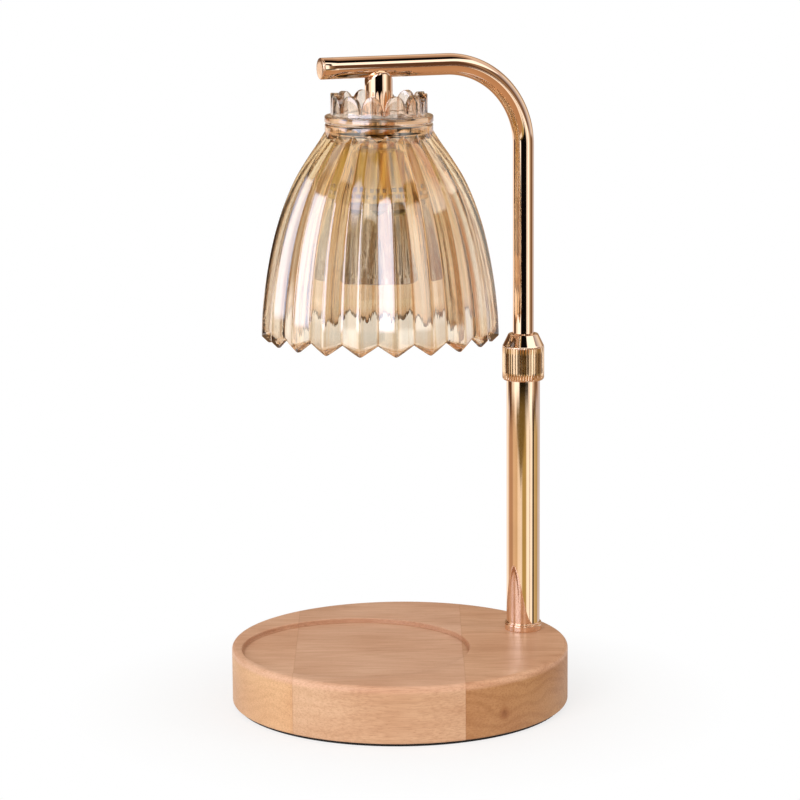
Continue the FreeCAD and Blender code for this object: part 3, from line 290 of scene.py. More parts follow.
def shade_material():
    """Champagne pressed glass with a lustre coat, with painted reflections: amber lines in the valleys of
    the flutes and beside the ridges, and brown at the points; painted shade between the petals.
    """
    material, tree, shader = new_material("champagne_glass")
    point = object_point(tree)
    split = fill(tree, add(tree, "ShaderNodeSeparateXYZ"), {0: point})
    east = math_node(tree, "SUBTRACT", split.outputs[0], SHADE_X * MM)
    turns = math_node(tree, "DIVIDE", math_node(tree, "ARCTAN2", split.outputs[1], east), TAU)
    # Three times the height in metres, which fills the ramps better
    height = times(tree, split.outputs[2], 3.0)

    def fold(repeats, phase):
        """1 at the middle of each repeat and 0 half way between them."""
        phased = math_node(tree, "SUBTRACT", times(tree, turns, repeats), phase)
        part = times(tree, math_node(tree, "FRACT", phased), 2.0)
        return math_node(tree, "ABSOLUTE", math_node(tree, "SUBTRACT", part, 1.0))

    # Painted reflection at the points: brown at the lower edge. Above it the glass is paler low on the
    # skirt and more amber towards the top.
    body = ramp(tree, height, [(0.53, (0.82, 0.60, 0.42)), (0.552, (0.95, 0.85, 0.70)),
                               (0.62, (0.975, 0.90, 0.79)), (0.72, (0.95, 0.84, 0.64)),
                               (0.80, (0.92, 0.76, 0.50))])
    # Painted reflections: amber lines in the valleys of the flutes and a thin one beside each ridge.
    painted_flute_lines = ramp(tree, fold(FLUTES, FLUTE_PHASE * FLUTES / 360.0), [
        (0.0, (0.74, 0.50, 0.30)), (0.10, (1.0, 0.99, 0.96)), (0.80, FULL),
        (0.93, (0.94, 0.82, 0.66)), (1.0, FULL)])
    skirt_tone_with_painted_lines = tint(tree, 1.0, body, painted_flute_lines)
    around = vector_node(tree, "SUBTRACT", point, (SHADE_X * MM, 0.0, 0.0))
    outward = vector_node(tree, "NORMALIZE", vector_node(tree, "MULTIPLY", around, (1.0, 1.0, 0.0)))
    upward = vector_node(tree, "MULTIPLY", point, (0.0, 0.0, 0.7))
    streaks = noise(tree, vector_node(tree, "ADD", outward, upward), 26.0, 2.0, 0.6)
    streak_tint = ramp(tree, streaks, [(0.36, (0.90, 0.72, 0.50)), (0.48, FULL)])
    skirt_tone_with_painted_lines = tint(tree, 0.7, skirt_tone_with_painted_lines, streak_tint)
    # Painted shade between the petals: brown at the creases where they meet, paler across their faces.
    petal = ramp(tree, fold(PETALS, 0.0), [(0.0, (0.68, 0.42, 0.28)), (0.30, (0.88, 0.71, 0.56)),
                                           (0.55, (0.95, 0.88, 0.81)), (1.0, (0.96, 0.91, 0.86))])
    crown = ramp(tree, height, [(0.842, ZERO), (0.850, FULL)])
    flange = mix_color(tree, crown, (0.99, 0.95, 0.92), petal)
    above = ramp(tree, height, [(0.818, ZERO), (0.828, FULL)])
    coat = ramp(tree, height, [(0.735, FULL), (0.765, (0.4, 0.4, 0.4)),
                               (0.80, (0.4, 0.4, 0.4)), (0.82, (0.8, 0.8, 0.8))])
    ripple = noise(tree, stretched(tree, point, (1.0, 1.0, 0.35)), 95.0, 2.0)
    relief = plus(tree, ripple, times(tree, streaks, 0.9))
    fill(tree, shader, {"Base Color": mix_color(tree, above, skirt_tone_with_painted_lines, flange), "Transmission Weight": 1.0,
                        "IOR": 1.5, "Roughness": 0.0, "Coat Weight": coat, "Coat IOR": 2.2,
                        "Coat Roughness": 0.02, "Normal": bumped(tree, relief, 0.12, 0.0006)})
    absorb = add(tree, "ShaderNodeVolumeAbsorption")
    fill(tree, absorb, {"Color": (0.90, 0.55, 0.15), "Density": 24.0})
    fill(tree, tree.nodes["Material Output"], {"Volume": absorb.outputs[0]})
    return material


WOOD = wood_material()
ROSE = metal_material("rose_gold", (0.95, 0.74, 0.58), 0.04)
ROSE_GRIP = metal_material("rose_gold_grip", (0.90, 0.68, 0.48), 0.10, 0.2, (1.0, 1.0, 0.2))
CAP_METAL = metal_material("rose_gold_cap", (1.0, 0.75, 0.56), 0.24, 0.1)
CUP_METAL = metal_material("antique_gold", (0.96, 0.89, 0.40), 0.30, 0.1)
BRASS = metal_material("turned_brass", linear(230, 208, 156), 0.20, 0.2, (0.2, 0.2, 3.0))
ZINC = metal_material("zinc_plate", linear(176, 178, 180), 0.32, 0.2)
MIRROR = metal_material("aluminised", linear(206, 216, 234), 0.06)
PAD = plain_material("foam_pad", linear(26, 25, 25), 0.85, 900.0, 0.4, 0.3, 0.2)
BLACK_PLASTIC = plain_material("black_plastic", linear(30, 30, 31), 0.45, 1400.0, 0.2)
IVORY = plain_material("ivory_plastic", linear(228, 224, 214), 0.42, 1100.0, 0.15)
JACKET = plain_material("lead_jacket", linear(232, 228, 216), 0.48, 800.0, 0.2)
SILICONE = plain_material("silicone", linear(222, 220, 214), 0.5, 700.0, 0.15)
CERAMIC = plain_material("glazed_ceramic", linear(236, 232, 222), 0.18, 260.0, 0.08)
SHADE_GLASS = shade_material()
CLEAR_GLASS = glass_material("clear_glass", (0.96, 0.97, 0.97), 1.46)

NODE_MATERIALS = {
    "foot_pad": PAD, "weight_plate": ZINC, "weight_screws": ZINC, "pole_stud": BRASS, "stud_nut": ZINC,
    "stud_washer": ZINC, "tube_plug": BRASS, "collet": BRASS, "cord_bush": BLACK_PLASTIC,
    "terminal_block": IVORY, "terminal_screw": ZINC, "base_lead": JACKET, "pole_lead": JACKET,
    "guide_sleeve": IVORY, "sleeve_clips": ZINC, "neck_nipple": BRASS, "upper_gasket": SILICONE,
    "lower_gasket": SILICONE, "clamp_washer": BRASS, "clamp_nut": BRASS, "holder_bracket": ZINC,
    "bracket_nut": BRASS, "holder_screws": ZINC, "lampholder": CERAMIC, "arm_lead": JACKET,
    "bulb_base": CERAMIC, "bulb_pins": ZINC, "bulb_capsule": CLEAR_GLASS,
}
for node_name, node_material in NODE_MATERIALS.items():
    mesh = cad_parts[node_name].data
    mesh.materials.clear()
    mesh.materials.append(node_material)


# Mesh helpers, which all take millimetres
def finish_piece(name, mesh, material, body, node, sharp=32.0):
    mesh.materials.append(material)
    mesh.shade_smooth()
    mesh.set_sharp_from_angle(angle=math.radians(sharp))
    piece = bpy.data.objects.new(name, mesh)
    bpy.context.scene.collection.objects.link(piece)
    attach(piece, body)
    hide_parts(node)
    return piece


def add_ring(bm, points):
    return [bm.verts.new([value * MM for value in point]) for point in points]


def mesh_from(bm, name):
    bmesh.ops.recalc_face_normals(bm, faces=bm.faces)
    mesh = bpy.data.meshes.new(name)
    bm.to_mesh(mesh)
    bm.free()
    return mesh


def ring_mesh(name, rings, closed_profile=False):
    """Mesh through rings of equally many points; a single point at either end closes it as a fan."""
    bm = bmesh.new()
    loops = [add_ring(bm, ring) for ring in rings]
    pairs = list(zip(loops, loops[1:]))
    if closed_profile:
        pairs.append((loops[-1], loops[0]))
    for low, high in pairs:
        count = max(len(low), len(high))
        for index in range(count):
            after = (index + 1) % count
            if len(low) == 1:
                bm.faces.new((low[0], high[after], high[index]))
            elif len(high) == 1:
                bm.faces.new((low[index], low[after], high[0]))
            else:
                bm.faces.new((low[index], low[after], high[after], high[index]))
    return mesh_from(bm, name)


def circle(radius, z, x=0.0, count=128):
    if radius == 0.0:
        return [(x, 0.0, z)]
    points = []
    for index in range(count):
        angle = TAU * index / count
        points.append((x + radius * math.cos(angle), radius * math.sin(angle), z))
    return points


def lathe(name, outline, x, count=128, closed=False):
    return ring_mesh(name, [circle(radius, z, x, count) for radius, z in outline], closed)


def lathe_along_x(name, outline, z, count=96):
    rings = []
    for radius, x in outline:
        rings.append([(x, px, z + py) for px, py, _ in circle(radius, 0.0, 0.0, count)])
    return ring_mesh(name, rings)


def rod_along_x(name, radius, start, end, z, count=96):
    return lathe_along_x(name, [(0.0, start), (radius, start), (radius, end), (0.0, end)], z, count)


def arc(center_r, center_z, radius, start, end, steps=6):
    """Points of an outline's rounded corner, from one angle to another in degrees."""
    points = []
    for index in range(steps + 1):
        angle = math.radians(start + (end - start) * index / steps)
        points.append((center_r + radius * math.cos(angle), center_z + radius * math.sin(angle)))
    return points


def cut_with(mesh, cutter_meshes):
    """The mesh less the others, as a new mesh."""
    body = bpy.data.objects.new("cut_body", mesh)
    bpy.context.scene.collection.objects.link(body)
    cutters = []
    for cutter_mesh in cutter_meshes:
        cutter = bpy.data.objects.new("cutter", cutter_mesh)
        bpy.context.scene.collection.objects.link(cutter)
        modifier = body.modifiers.new("cut", "BOOLEAN")
        modifier.operation = "DIFFERENCE"
        modifier.solver = "EXACT"
        modifier.object = cutter
        cutters.append(cutter)
    bpy.context.view_layer.update()
    depsgraph = bpy.context.evaluated_depsgraph_get()
    result = bpy.data.meshes.new_from_object(body.evaluated_get(depsgraph))
    result.materials.clear()
    for used in cutters + [body]:
        bpy.data.objects.remove(used)
    return result


# Foot
def base_rings():
    count = 256
    rings = [circle(0.0, BASE_LOW)]
    rings.append(circle(BASE_R - 4.0, BASE_LOW, 0.0, count))
    low, top = BASE_LOW + BASE_LOW_ROUND, BASE_TOP - BASE_TOP_ROUND
    for radius, z in arc(BASE_R - BASE_LOW_ROUND, low, BASE_LOW_ROUND, -90.0, 0.0, 4):
        rings.append(circle(radius, z, 0.0, count))
    for share in (0.25, 0.5, 0.75):
        rings.append(circle(BASE_R, low + (top - low) * share, 0.0, count))
    for radius, z in arc(BASE_R - BASE_TOP_ROUND, top, BASE_TOP_ROUND, 0.0, 90.0, 8):
        rings.append(circle(radius, z, 0.0, count))
    edge = DISH_EDGE_ROUND
    for share in (0.25, 0.5, 0.75):
        radius = (BASE_R - BASE_TOP_ROUND) * (1.0 - share) + (DISH_R + edge) * share
        rings.append(circle(radius, BASE_TOP, DISH_X * share, count))
    for radius, z in arc(DISH_R + edge, BASE_TOP - edge, edge, 90.0, 180.0, 5):
        rings.append(circle(radius, z, DISH_X, count))
    floor_r = DISH_R - DISH_FLOOR_ROUND
    for radius, z in arc(floor_r, DISH_FLOOR + DISH_FLOOR_ROUND, DISH_FLOOR_ROUND, 0.0, -90.0, 5):
        rings.append(circle(radius, z, DISH_X, count))
    for share in (0.75, 0.5, 0.25):
        rings.append(circle(floor_r * share, DISH_FLOOR, DISH_X, count))
    rings.append(circle(0.0, DISH_FLOOR, DISH_X))
    return rings


def make_foot():
    body = ring_mesh("foot_body", base_rings())
    seat = rod_along_x("seat_cut", INLET_SEAT_R, INLET_SEAT_X, BASE_R + 2.0, INLET_Z)
    hole = rod_along_x("bush_cut", INLET_R, INLET_END_X, BASE_R - 1.0, INLET_Z)
    mesh = cut_with(body, [seat, hole])
    finish_piece("wooden_foot", mesh, WOOD, "base", "wood_base", 40.0)


# Pole
def make_pole():
    radius, z = LOWER_TUBE_R, BASE_TOP
    # A straight band, a narrow groove and a thin bead
    collar = [(radius, z), (radius + 0.75, z), (radius + 0.9, z + 0.15), (radius + 0.9, z + 0.3),
              (radius + 0.9, z + 2.6), (radius + 0.9, z + 2.8), (radius + 0.8, z + 2.9),
              (radius + 0.5, z + 2.95), (radius + 0.5, z + 3.1), (radius + 0.65, z + 3.15)]
    collar += arc(radius + 0.45, z + 3.5, 0.35, -30.0, 90.0, 5)
    collar += [(radius + 0.05, z + 3.9), (radius, z + 3.7)]
    finish_piece("pole_collar", lathe("pole_collar", collar, POLE_X, 128, True),
                 ROSE, "base", "foot_collar", 50.0)
    bore, low, top = radius - TUBE_WALL, LOWER_TUBE_LOW, LOWER_TUBE_TOP
    tube = [(bore, low), (radius, low), (radius, 90.0), (radius, top - 0.3), (radius - 0.3, top),
            (bore, top)]
    finish_piece("pole_tube", lathe("pole_tube", tube, POLE_X, 160, True),
                 ROSE, "base", "lower_tube")


def make_nut():
    """Ribbed grip between narrow bands, with a polished cone above."""
    grooves = (0.0, 0.0, 0.0, 0.0, 0.0, 0.5, 1.0, 0.5)
    count = NUT_RIBS * len(grooves)
    grip_top = NUT_LOW + GRIP_H
    top = NUT_LOW + NUT_H
    band = NUT_R - 0.12
    outline = [(9.3, NUT_LOW, 0.0), (band - 0.35, NUT_LOW, 0.0), (band, NUT_LOW + 0.4, 0.0),
               (band, NUT_LOW + 0.7, 0.0), (NUT_R, NUT_LOW + 0.95, 0.8)]
    for step in range(1, 6):
        outline.append((NUT_R, NUT_LOW + 0.95 + step * (grip_top - NUT_LOW - 1.9) / 5.0, 1.0))
    outline += [(NUT_R, grip_top - 0.7, 0.8), (band, grip_top - 0.45, 0.0), (band, grip_top - 0.12, 0.0),
                (band - 0.15, grip_top + 0.1, 0.0), (band - 0.29, grip_top + 0.4, 0.0),
                (7.39, top - 0.55, 0.0), (7.25, top - 0.25, 0.0), (6.9, top, 0.0),
                (NUT_BORE + 0.3, top, 0.0), (NUT_BORE, top - 0.25, 0.0), (NUT_BORE, top - 3.0, 0.0),
                (9.0, top - 6.0, 0.0), (9.0, NUT_LOW + 0.3, 0.0)]
    rings = []
    for radius, z, rib in outline:
        ring = []
        for index in range(count):
            angle = TAU * index / count
            r = radius - NUT_GROOVE * rib * grooves[index % len(grooves)]
            ring.append((POLE_X + r * math.cos(angle), r * math.sin(angle), z))
        rings.append(ring)
    mesh = ring_mesh("clamp_nut_grip", rings, True)
    piece = finish_piece("clamp_nut_grip", mesh, ROSE, "lock_nut", "lock_nut", 28.0)
    piece.data.materials.append(ROSE_GRIP)
    for face in piece.data.polygons:
        z = face.center.z / MM
        radius = math.hypot(face.center.x / MM - POLE_X, face.center.y / MM)
        if NUT_LOW + 0.8 < z < grip_top - 0.6 and radius > NUT_R - 0.6:
            face.material_index = 1


def arm_frames():
    """Centre points and directions along the upper tube, its bend and the arm."""
    frames = []
    for z in (UPPER_TUBE_LOW, 150.0, 200.0, 230.0, 250.0):
        frames.append(((POLE_X, z), (0.0, 1.0)))
    bend_z = ARM_Z - BEND_R
    steps = 40
    for index in range(steps + 1):
        angle = 0.5 * math.pi * index / steps
        x = POLE_X - BEND_R + BEND_R * math.cos(angle)
        z = bend_z + BEND_R * math.sin(angle)
        frames.append(((x, z), (-math.sin(angle), math.cos(angle))))
    for x in (10.0, 0.0, -10.0, -20.0, -30.0, -36.4):
        frames.append(((x, ARM_Z), (-1.0, 0.0)))
    return frames


def tube_ring(center, direction, radius, count=96):
    """Ring about a point of the arm's plane, square to a direction in that plane."""
    (x, z), (dx, dz) = center, direction
    side_x, side_z = dz, -dx
    points = []
    for index in range(count):
        angle = TAU * index / count
        out, across = radius * math.cos(angle), radius * math.sin(angle)
        points.append((x + side_x * out, across, z + side_z * out))
    return points


def make_arm():
    frames = arm_frames()
    rings = [tube_ring(center, direction, UPPER_TUBE_R) for center, direction in frames]
    end, last = frames[-1]
    rings.append(tube_ring((ARM_END_X + 1.02, end[1]), last, UPPER_TUBE_R - 0.06))
    for center, direction in reversed(frames):
        rings.append(tube_ring(center, direction, UPPER_TUBE_R - TUBE_WALL))
    mesh = ring_mesh("arm_tube", rings, True)
    finish_piece("arm_tube", mesh, ROSE, "arm", "upper_tube", 60.0)
    cap = [(0.0, ARM_END_X + 5.5), (3.95, ARM_END_X + 5.5), (3.95, ARM_END_X + 1.0),
           (4.9, ARM_END_X + 1.0)]
    cap += [(5.0, ARM_END_X + 0.9), (5.0, ARM_END_X + 0.4), (4.9, ARM_END_X + 0.15),
            (4.65, ARM_END_X), (2.5, ARM_END_X), (0.0, ARM_END_X)]
    finish_piece("arm_cap", lathe_along_x("arm_cap", cap, ARM_Z), CAP_METAL, "arm",
                 "arm_end_cap", 50.0)


def make_neck():
    """Short pipe whose arched top straddles the arm."""
    count = 96
    rings = [circle(0.0, NECK_LOW, SHADE_X), circle(NECK_R - 0.25, NECK_LOW, SHADE_X, count)]
    rings.append(circle(NECK_R, NECK_LOW + 0.25, SHADE_X, count))
    rings.append(circle(NECK_R, NECK_ARCH - 4.0, SHADE_X, count))
    for inset, drop in ((0.0, 0.9), (0.0, 0.30), (0.12, 0.10), (0.35, 0.0), (1.2, 0.0), (2.4, 0.0)):
        ring = []
        for index in range(count):
            angle = TAU * index / count
            r = NECK_R - inset
            x, y = r * math.cos(angle), r * math.sin(angle)
            rise = math.sqrt(max(NECK_R * NECK_R - x * x, 0.0))
            ring.append((SHADE_X + x, y, NECK_ARCH + rise - drop))
        rings.append(ring)
    rings.append([(SHADE_X, 0.0, NECK_ARCH + NECK_R - 2.0)])
    body = ring_mesh("neck_body", rings)
    arm = rod_along_x("neck_cut", UPPER_TUBE_R + 0.01, SHADE_X - 12.0, SHADE_X + 12.0, ARM_Z, 128)
    below = NECK_LOW - 1.0
    bore = lathe("neck_bore", [(0.0, below), (NECK_BORE, below), (NECK_BORE, NECK_BORE_TOP),
                               (0.0, NECK_BORE_TOP)], SHADE_X)
    mesh = cut_with(body, [arm, bore])
    finish_piece("neck_pipe", mesh, ROSE, "arm", "neck_stub", 35.0)


# Glass shade
def ridge_radius(z):
    """Smooth curve through the ridge outline."""
    points = RIDGE_OUTLINE
    if z <= points[0][0]:
        return points[0][1]
    for index in range(len(points) - 1):
        z0, r0 = points[index]
        z1, r1 = points[index + 1]
        if z <= z1:
            before = points[max(index - 1, 0)]
            after = points[min(index + 2, len(points) - 1)]
            t = (z - z0) / (z1 - z0)
            m0 = (r1 - before[1]) / (z1 - before[0]) * (z1 - z0)
            m1 = (after[1] - r0) / (after[0] - z0) * (z1 - z0)
            h00 = 2 * t ** 3 - 3 * t ** 2 + 1
            h10 = t ** 3 - 2 * t ** 2 + t
            h01 = -2 * t ** 3 + 3 * t ** 2
            h11 = t ** 3 - t ** 2
            return h00 * r0 + h10 * m0 + h01 * r1 + h11 * m1
    return points[-1][1]


def flute_radius(z, degrees):
    """Radius of the V-shaped flutes at an angle from the nearest ridge, both ridge and valley softened."""
    pitch = 180.0 / FLUTES
    ridge_soft, valley_soft = 0.55, 0.7
    from_ridge = math.sqrt(degrees * degrees + ridge_soft * ridge_soft) - ridge_soft * 0.5
    from_ridge = min(from_ridge, pitch)
    to_valley = pitch - from_ridge
    to_valley = math.sqrt(to_valley * to_valley + valley_soft * valley_soft) - valley_soft * 0.5
    to_valley = min(to_valley, pitch)
    from_ridge = pitch - to_valley
    outer = ridge_radius(z)
    inner = outer - FLUTE_DEPTH
    a, b = math.radians(from_ridge), math.radians(pitch - from_ridge)
    return outer * inner * math.sin(math.radians(pitch)) / (outer * math.sin(a) + inner * math.sin(b))


def flute_top(degrees):
    """Height at which the flutes run out on the plain flange."""
    low, high = 264.0, RIDGE_OUTLINE[-1][0]
    for _ in range(40):
        mid = 0.5 * (low + high)
        if flute_radius(mid, degrees) > FLANGE_R:
            low = mid
        else:
            high = mid
    return 0.5 * (low + high)


def petal_face_radius(degrees):
    return PETAL_R * math.cos(math.pi / PETALS) / math.cos(math.radians(180.0 / PETALS - degrees))


def petal_columns():
    """Half a petal's column angles, close together where the arch stands steep."""
    angles = []
    steps = 18
    for index in range(steps + 1):
        across = PETAL_HALF * math.sin(0.5 * math.pi * index / steps)
        angle = 0.0
        for _ in range(12):
            angle = math.degrees(math.asin(min(across / petal_face_radius(angle), 1.0)))
        angles.append(angle)
    edge = angles[-1]
    return angles + [edge + (15.0 - edge) * 0.45, 15.0]


def petal_top(degrees):
    across = petal_face_radius(degrees) * math.sin(math.radians(degrees))
    if across >= PETAL_HALF:
        return PETAL_ROOT
    return PETAL_ROOT + PETAL_H * math.sqrt(1.0 - (across / PETAL_HALF) ** 2)


def mirrored(half, repeats, phase):
    """Column angles of a whole turn from half a repeat, with the angle from each repeat's middle."""
    period = 360.0 / repeats
    columns = []
    for index in range(repeats):
        start = phase + index * period
        for offset in half[:-1]:
            columns.append((start + offset, offset))
        for offset in reversed(half[1:]):
            columns.append((start + period - offset, offset))
    return columns


def shade_rings():
    """Rings from the lower edge up the outside, over the petals and down the inside."""
    half_flute = [0.0, 0.4, 0.9, 1.6, 2.5, 3.6, 4.8, 6.0, 7.1, 7.9, 8.45, 8.8, 9.0]
    flute_columns = mirrored(half_flute, FLUTES, FLUTE_PHASE)
    petal_list = mirrored(petal_columns(), PETALS, 0.0)
    count = len(flute_columns)
    # Both lists have as many columns, and the shift pairs those that stand closest
    shift = 6
    petal_pairs = []
    for index in range(count):
        angle, offset = petal_list[(index + shift) % count]
        if index + shift >= count:
            angle += 360.0
        petal_pairs.append((angle, offset))
    bevel_start = RIDGE_OUTLINE[0][1] - FLUTE_DEPTH / 2.0 - BEVEL
    cavity = FLUTE_DEPTH + SHADE_WALL
    tops = [flute_top(offset) for _, offset in flute_columns]
    edges = []
    for _, offset in flute_columns:
        share = offset / 9.0
        soft = math.sqrt(share * share + 0.006) - 0.05
        soft = min(soft, 1.0 - (math.sqrt((1.0 - share) ** 2 + 0.0009) - 0.03))
        edges.append(TIP_Z + (NOTCH_Z - TIP_Z) * max(soft, 0.0))
    rings = []

    def put(function, blend):
        """Ring of radius and height by column, at the flutes' angles for blend 0 and the petals' for 1."""
        ring = []
        for index in range(count):
            flute_angle, flute_offset = flute_columns[index]
            petal_angle, petal_offset = petal_pairs[index]
            angle = math.radians(flute_angle * (1.0 - blend) + petal_angle * blend)
            radius, z = function(index, flute_offset, petal_offset)
            ring.append((SHADE_X + radius * math.cos(angle), radius * math.sin(angle), z))
        rings.append(ring)

    put(lambda i, f, p: (ridge_radius(edges[i]) - cavity + 0.35, edges[i] + 0.02), 0.0)
    put(lambda i, f, p: (bevel_start - 0.25, edges[i]), 0.0)
    put(lambda i, f, p: (bevel_start + 0.15, edges[i] + 0.2), 0.0)
    for share in (0.5, 0.92):
        put(lambda i, f, p, s=share: (
            bevel_start + (flute_radius(edges[i], f) - bevel_start) * s,
            edges[i] + (flute_radius(edges[i], f) - bevel_start) * s), 0.0)

    def outer(share):
        def point(i, f, p):
            start = edges[i] + flute_radius(edges[i], f) - bevel_start + 0.15
            z = start + (tops[i] - start) * share
            return flute_radius(z, f), z
        return point

    steps = 64
    for step in range(steps):
        put(outer(step / steps), 0.0)
    put(lambda i, f, p: (FLANGE_R, tops[i]), 0.0)
    for share, blend in ((0.35, 0.1), (0.7, 0.25), (1.0, 0.4)):
        put(lambda i, f, p, s=share: (FLANGE_R, tops[i] + (GROOVE_Z - 0.9 - tops[i]) * s), blend)
    for radius, z, blend in (
        (FLANGE_R - 0.12, GROOVE_Z - 0.55, 0.5), (FLANGE_R - 0.5, GROOVE_Z - 0.1, 0.55),
        (FLANGE_R - 0.5, GROOVE_Z + 0.1, 0.6), (FLANGE_R - 0.08, GROOVE_Z + 0.55, 0.65),
        (FLANGE_R + 0.15, GROOVE_Z + 0.95, 0.7), (FLANGE_R + 0.15, FLANGE_TOP - 0.8, 0.8),
        (FLANGE_R, FLANGE_TOP - 0.35, 0.85), (FLANGE_R - 0.35, FLANGE_TOP - 0.08, 0.9),
        (FLANGE_R - 0.8, FLANGE_TOP, 1.0),
    ):
        put(lambda i, f, p, r=radius, h=z: (r, h), blend)
    put(lambda i, f, p: (petal_face_radius(p) + 0.45, FLANGE_TOP + 0.02), 1.0)
    put(lambda i, f, p: (petal_face_radius(p) + 0.10, FLANGE_TOP + 0.25), 1.0)
    wall_low = FLANGE_TOP + 0.7
    for share in (0.0, 0.25, 0.5, 0.75, 0.94):
        put(lambda i, f, p, s=share: (
            petal_face_radius(p), wall_low + (petal_top(p) - 0.5 - wall_low) * s), 1.0)
    put(lambda i, f, p: (petal_face_radius(p) - 0.12, petal_top(p) - 0.14), 1.0)
    put(lambda i, f, p: (petal_face_radius(p) - 0.5, petal_top(p)), 1.0)
    put(lambda i, f, p: (PETAL_IN_R + 0.5, petal_top(p)), 1.0)
    put(lambda i, f, p: (PETAL_IN_R + 0.1, petal_top(p) - 0.15), 1.0)
    for share in (0.95, 0.6, 0.3, 0.0):
        put(lambda i, f, p, s=share: (
            PETAL_IN_R, PLATE_TOP + 0.8 + (petal_top(p) - 0.5 - PLATE_TOP - 0.8) * s), 1.0)
    for radius, z in ((PETAL_IN_R - 0.25, PLATE_TOP + 0.2), (PETAL_IN_R - 0.8, PLATE_TOP),
                      (12.0, PLATE_TOP), (PLATE_BORE + 0.3, PLATE_TOP), (PLATE_BORE, PLATE_TOP - 0.3)):
        put(lambda i, f, p, r=radius, h=z: (r, h), 1.0)
    for radius, z in ((PLATE_BORE, PLATE_LOW + 0.3), (PLATE_BORE + 0.3, PLATE_LOW), (12.0, PLATE_LOW),
                      (18.0, PLATE_LOW), (19.4, PLATE_LOW - 0.4)):
        put(lambda i, f, p, r=radius, h=z: (r, h), 0.0)
    put(lambda i, f, p: (ridge_radius(CAVITY_TOP) - cavity - 0.4, CAVITY_TOP), 0.0)

    def inner(share):
        def point(i, f, p):
            z = CAVITY_TOP + (edges[i] + 0.4 - CAVITY_TOP) * share
            return ridge_radius(z) - cavity, z
        return point

    steps = 40
    for step in range(1, steps):
        put(inner(step / steps), 0.0)
    return rings


def make_shade():
    mesh = ring_mesh("fluted_shade", shade_rings(), True)
    finish_piece("fluted_shade", mesh, SHADE_GLASS, "arm", "glass_shade", 26.0)


# Lampholder cup and lamp
def make_cup():
    """Gold cup with a band of two rows of vent windows."""
    per_vent = 8
    count = CUP_VENTS * per_vent
    heights = [CUP_LOW, CUP_LOW + 0.9, CUP_LOW + 2.0, CUP_LOW + 3.8, CUP_LOW + 5.0, CUP_LOW + 6.8,
               CUP_LOW + 7.8, CUP_LOW + 8.4, CUP_LOW + 15.0]
    outline = [(CUP_R, z) for z in heights]
    outline[0] = (CUP_R - 0.15, CUP_LOW)
    outline += arc(CUP_R - CUP_ROUND, CUP_TOP - CUP_ROUND, CUP_ROUND, 0.0, 90.0, 8)
    outline += [(12.0, CUP_TOP), (CUP_BORE, CUP_TOP)]
    bm = bmesh.new()
    loops = [add_ring(bm, circle(radius, z, SHADE_X, count)) for radius, z in outline]
    for row, (low, high) in enumerate(zip(loops, loops[1:])):
        for index in range(count):
            offset = index % per_vent
            if (row == 2 and offset in (1, 2, 3, 4, 5)) or (row == 4 and offset not in (2, 3, 4)):
                continue
            after = (index + 1) % count
            bm.faces.new((low[index], low[after], high[after], high[index]))
    piece = finish_piece("vented_cup", mesh_from(bm, "vented_cup"), CUP_METAL, "arm",
                         "holder_cup", 40.0)
    solid = piece.modifiers.new("wall", "SOLIDIFY")
    solid.thickness = CUP_WALL * MM
    solid.offset = -1.0


def reflector_radius(share):
    return BULB_R * math.sqrt(1.0 - share * (1.0 - (BULB_NECK / BULB_R) ** 2))


def bulge(index):
    """0 at the edges of a facet and 1 at its middle."""
    return math.sin(math.pi * (index % FACET_STEPS) / FACET_STEPS)


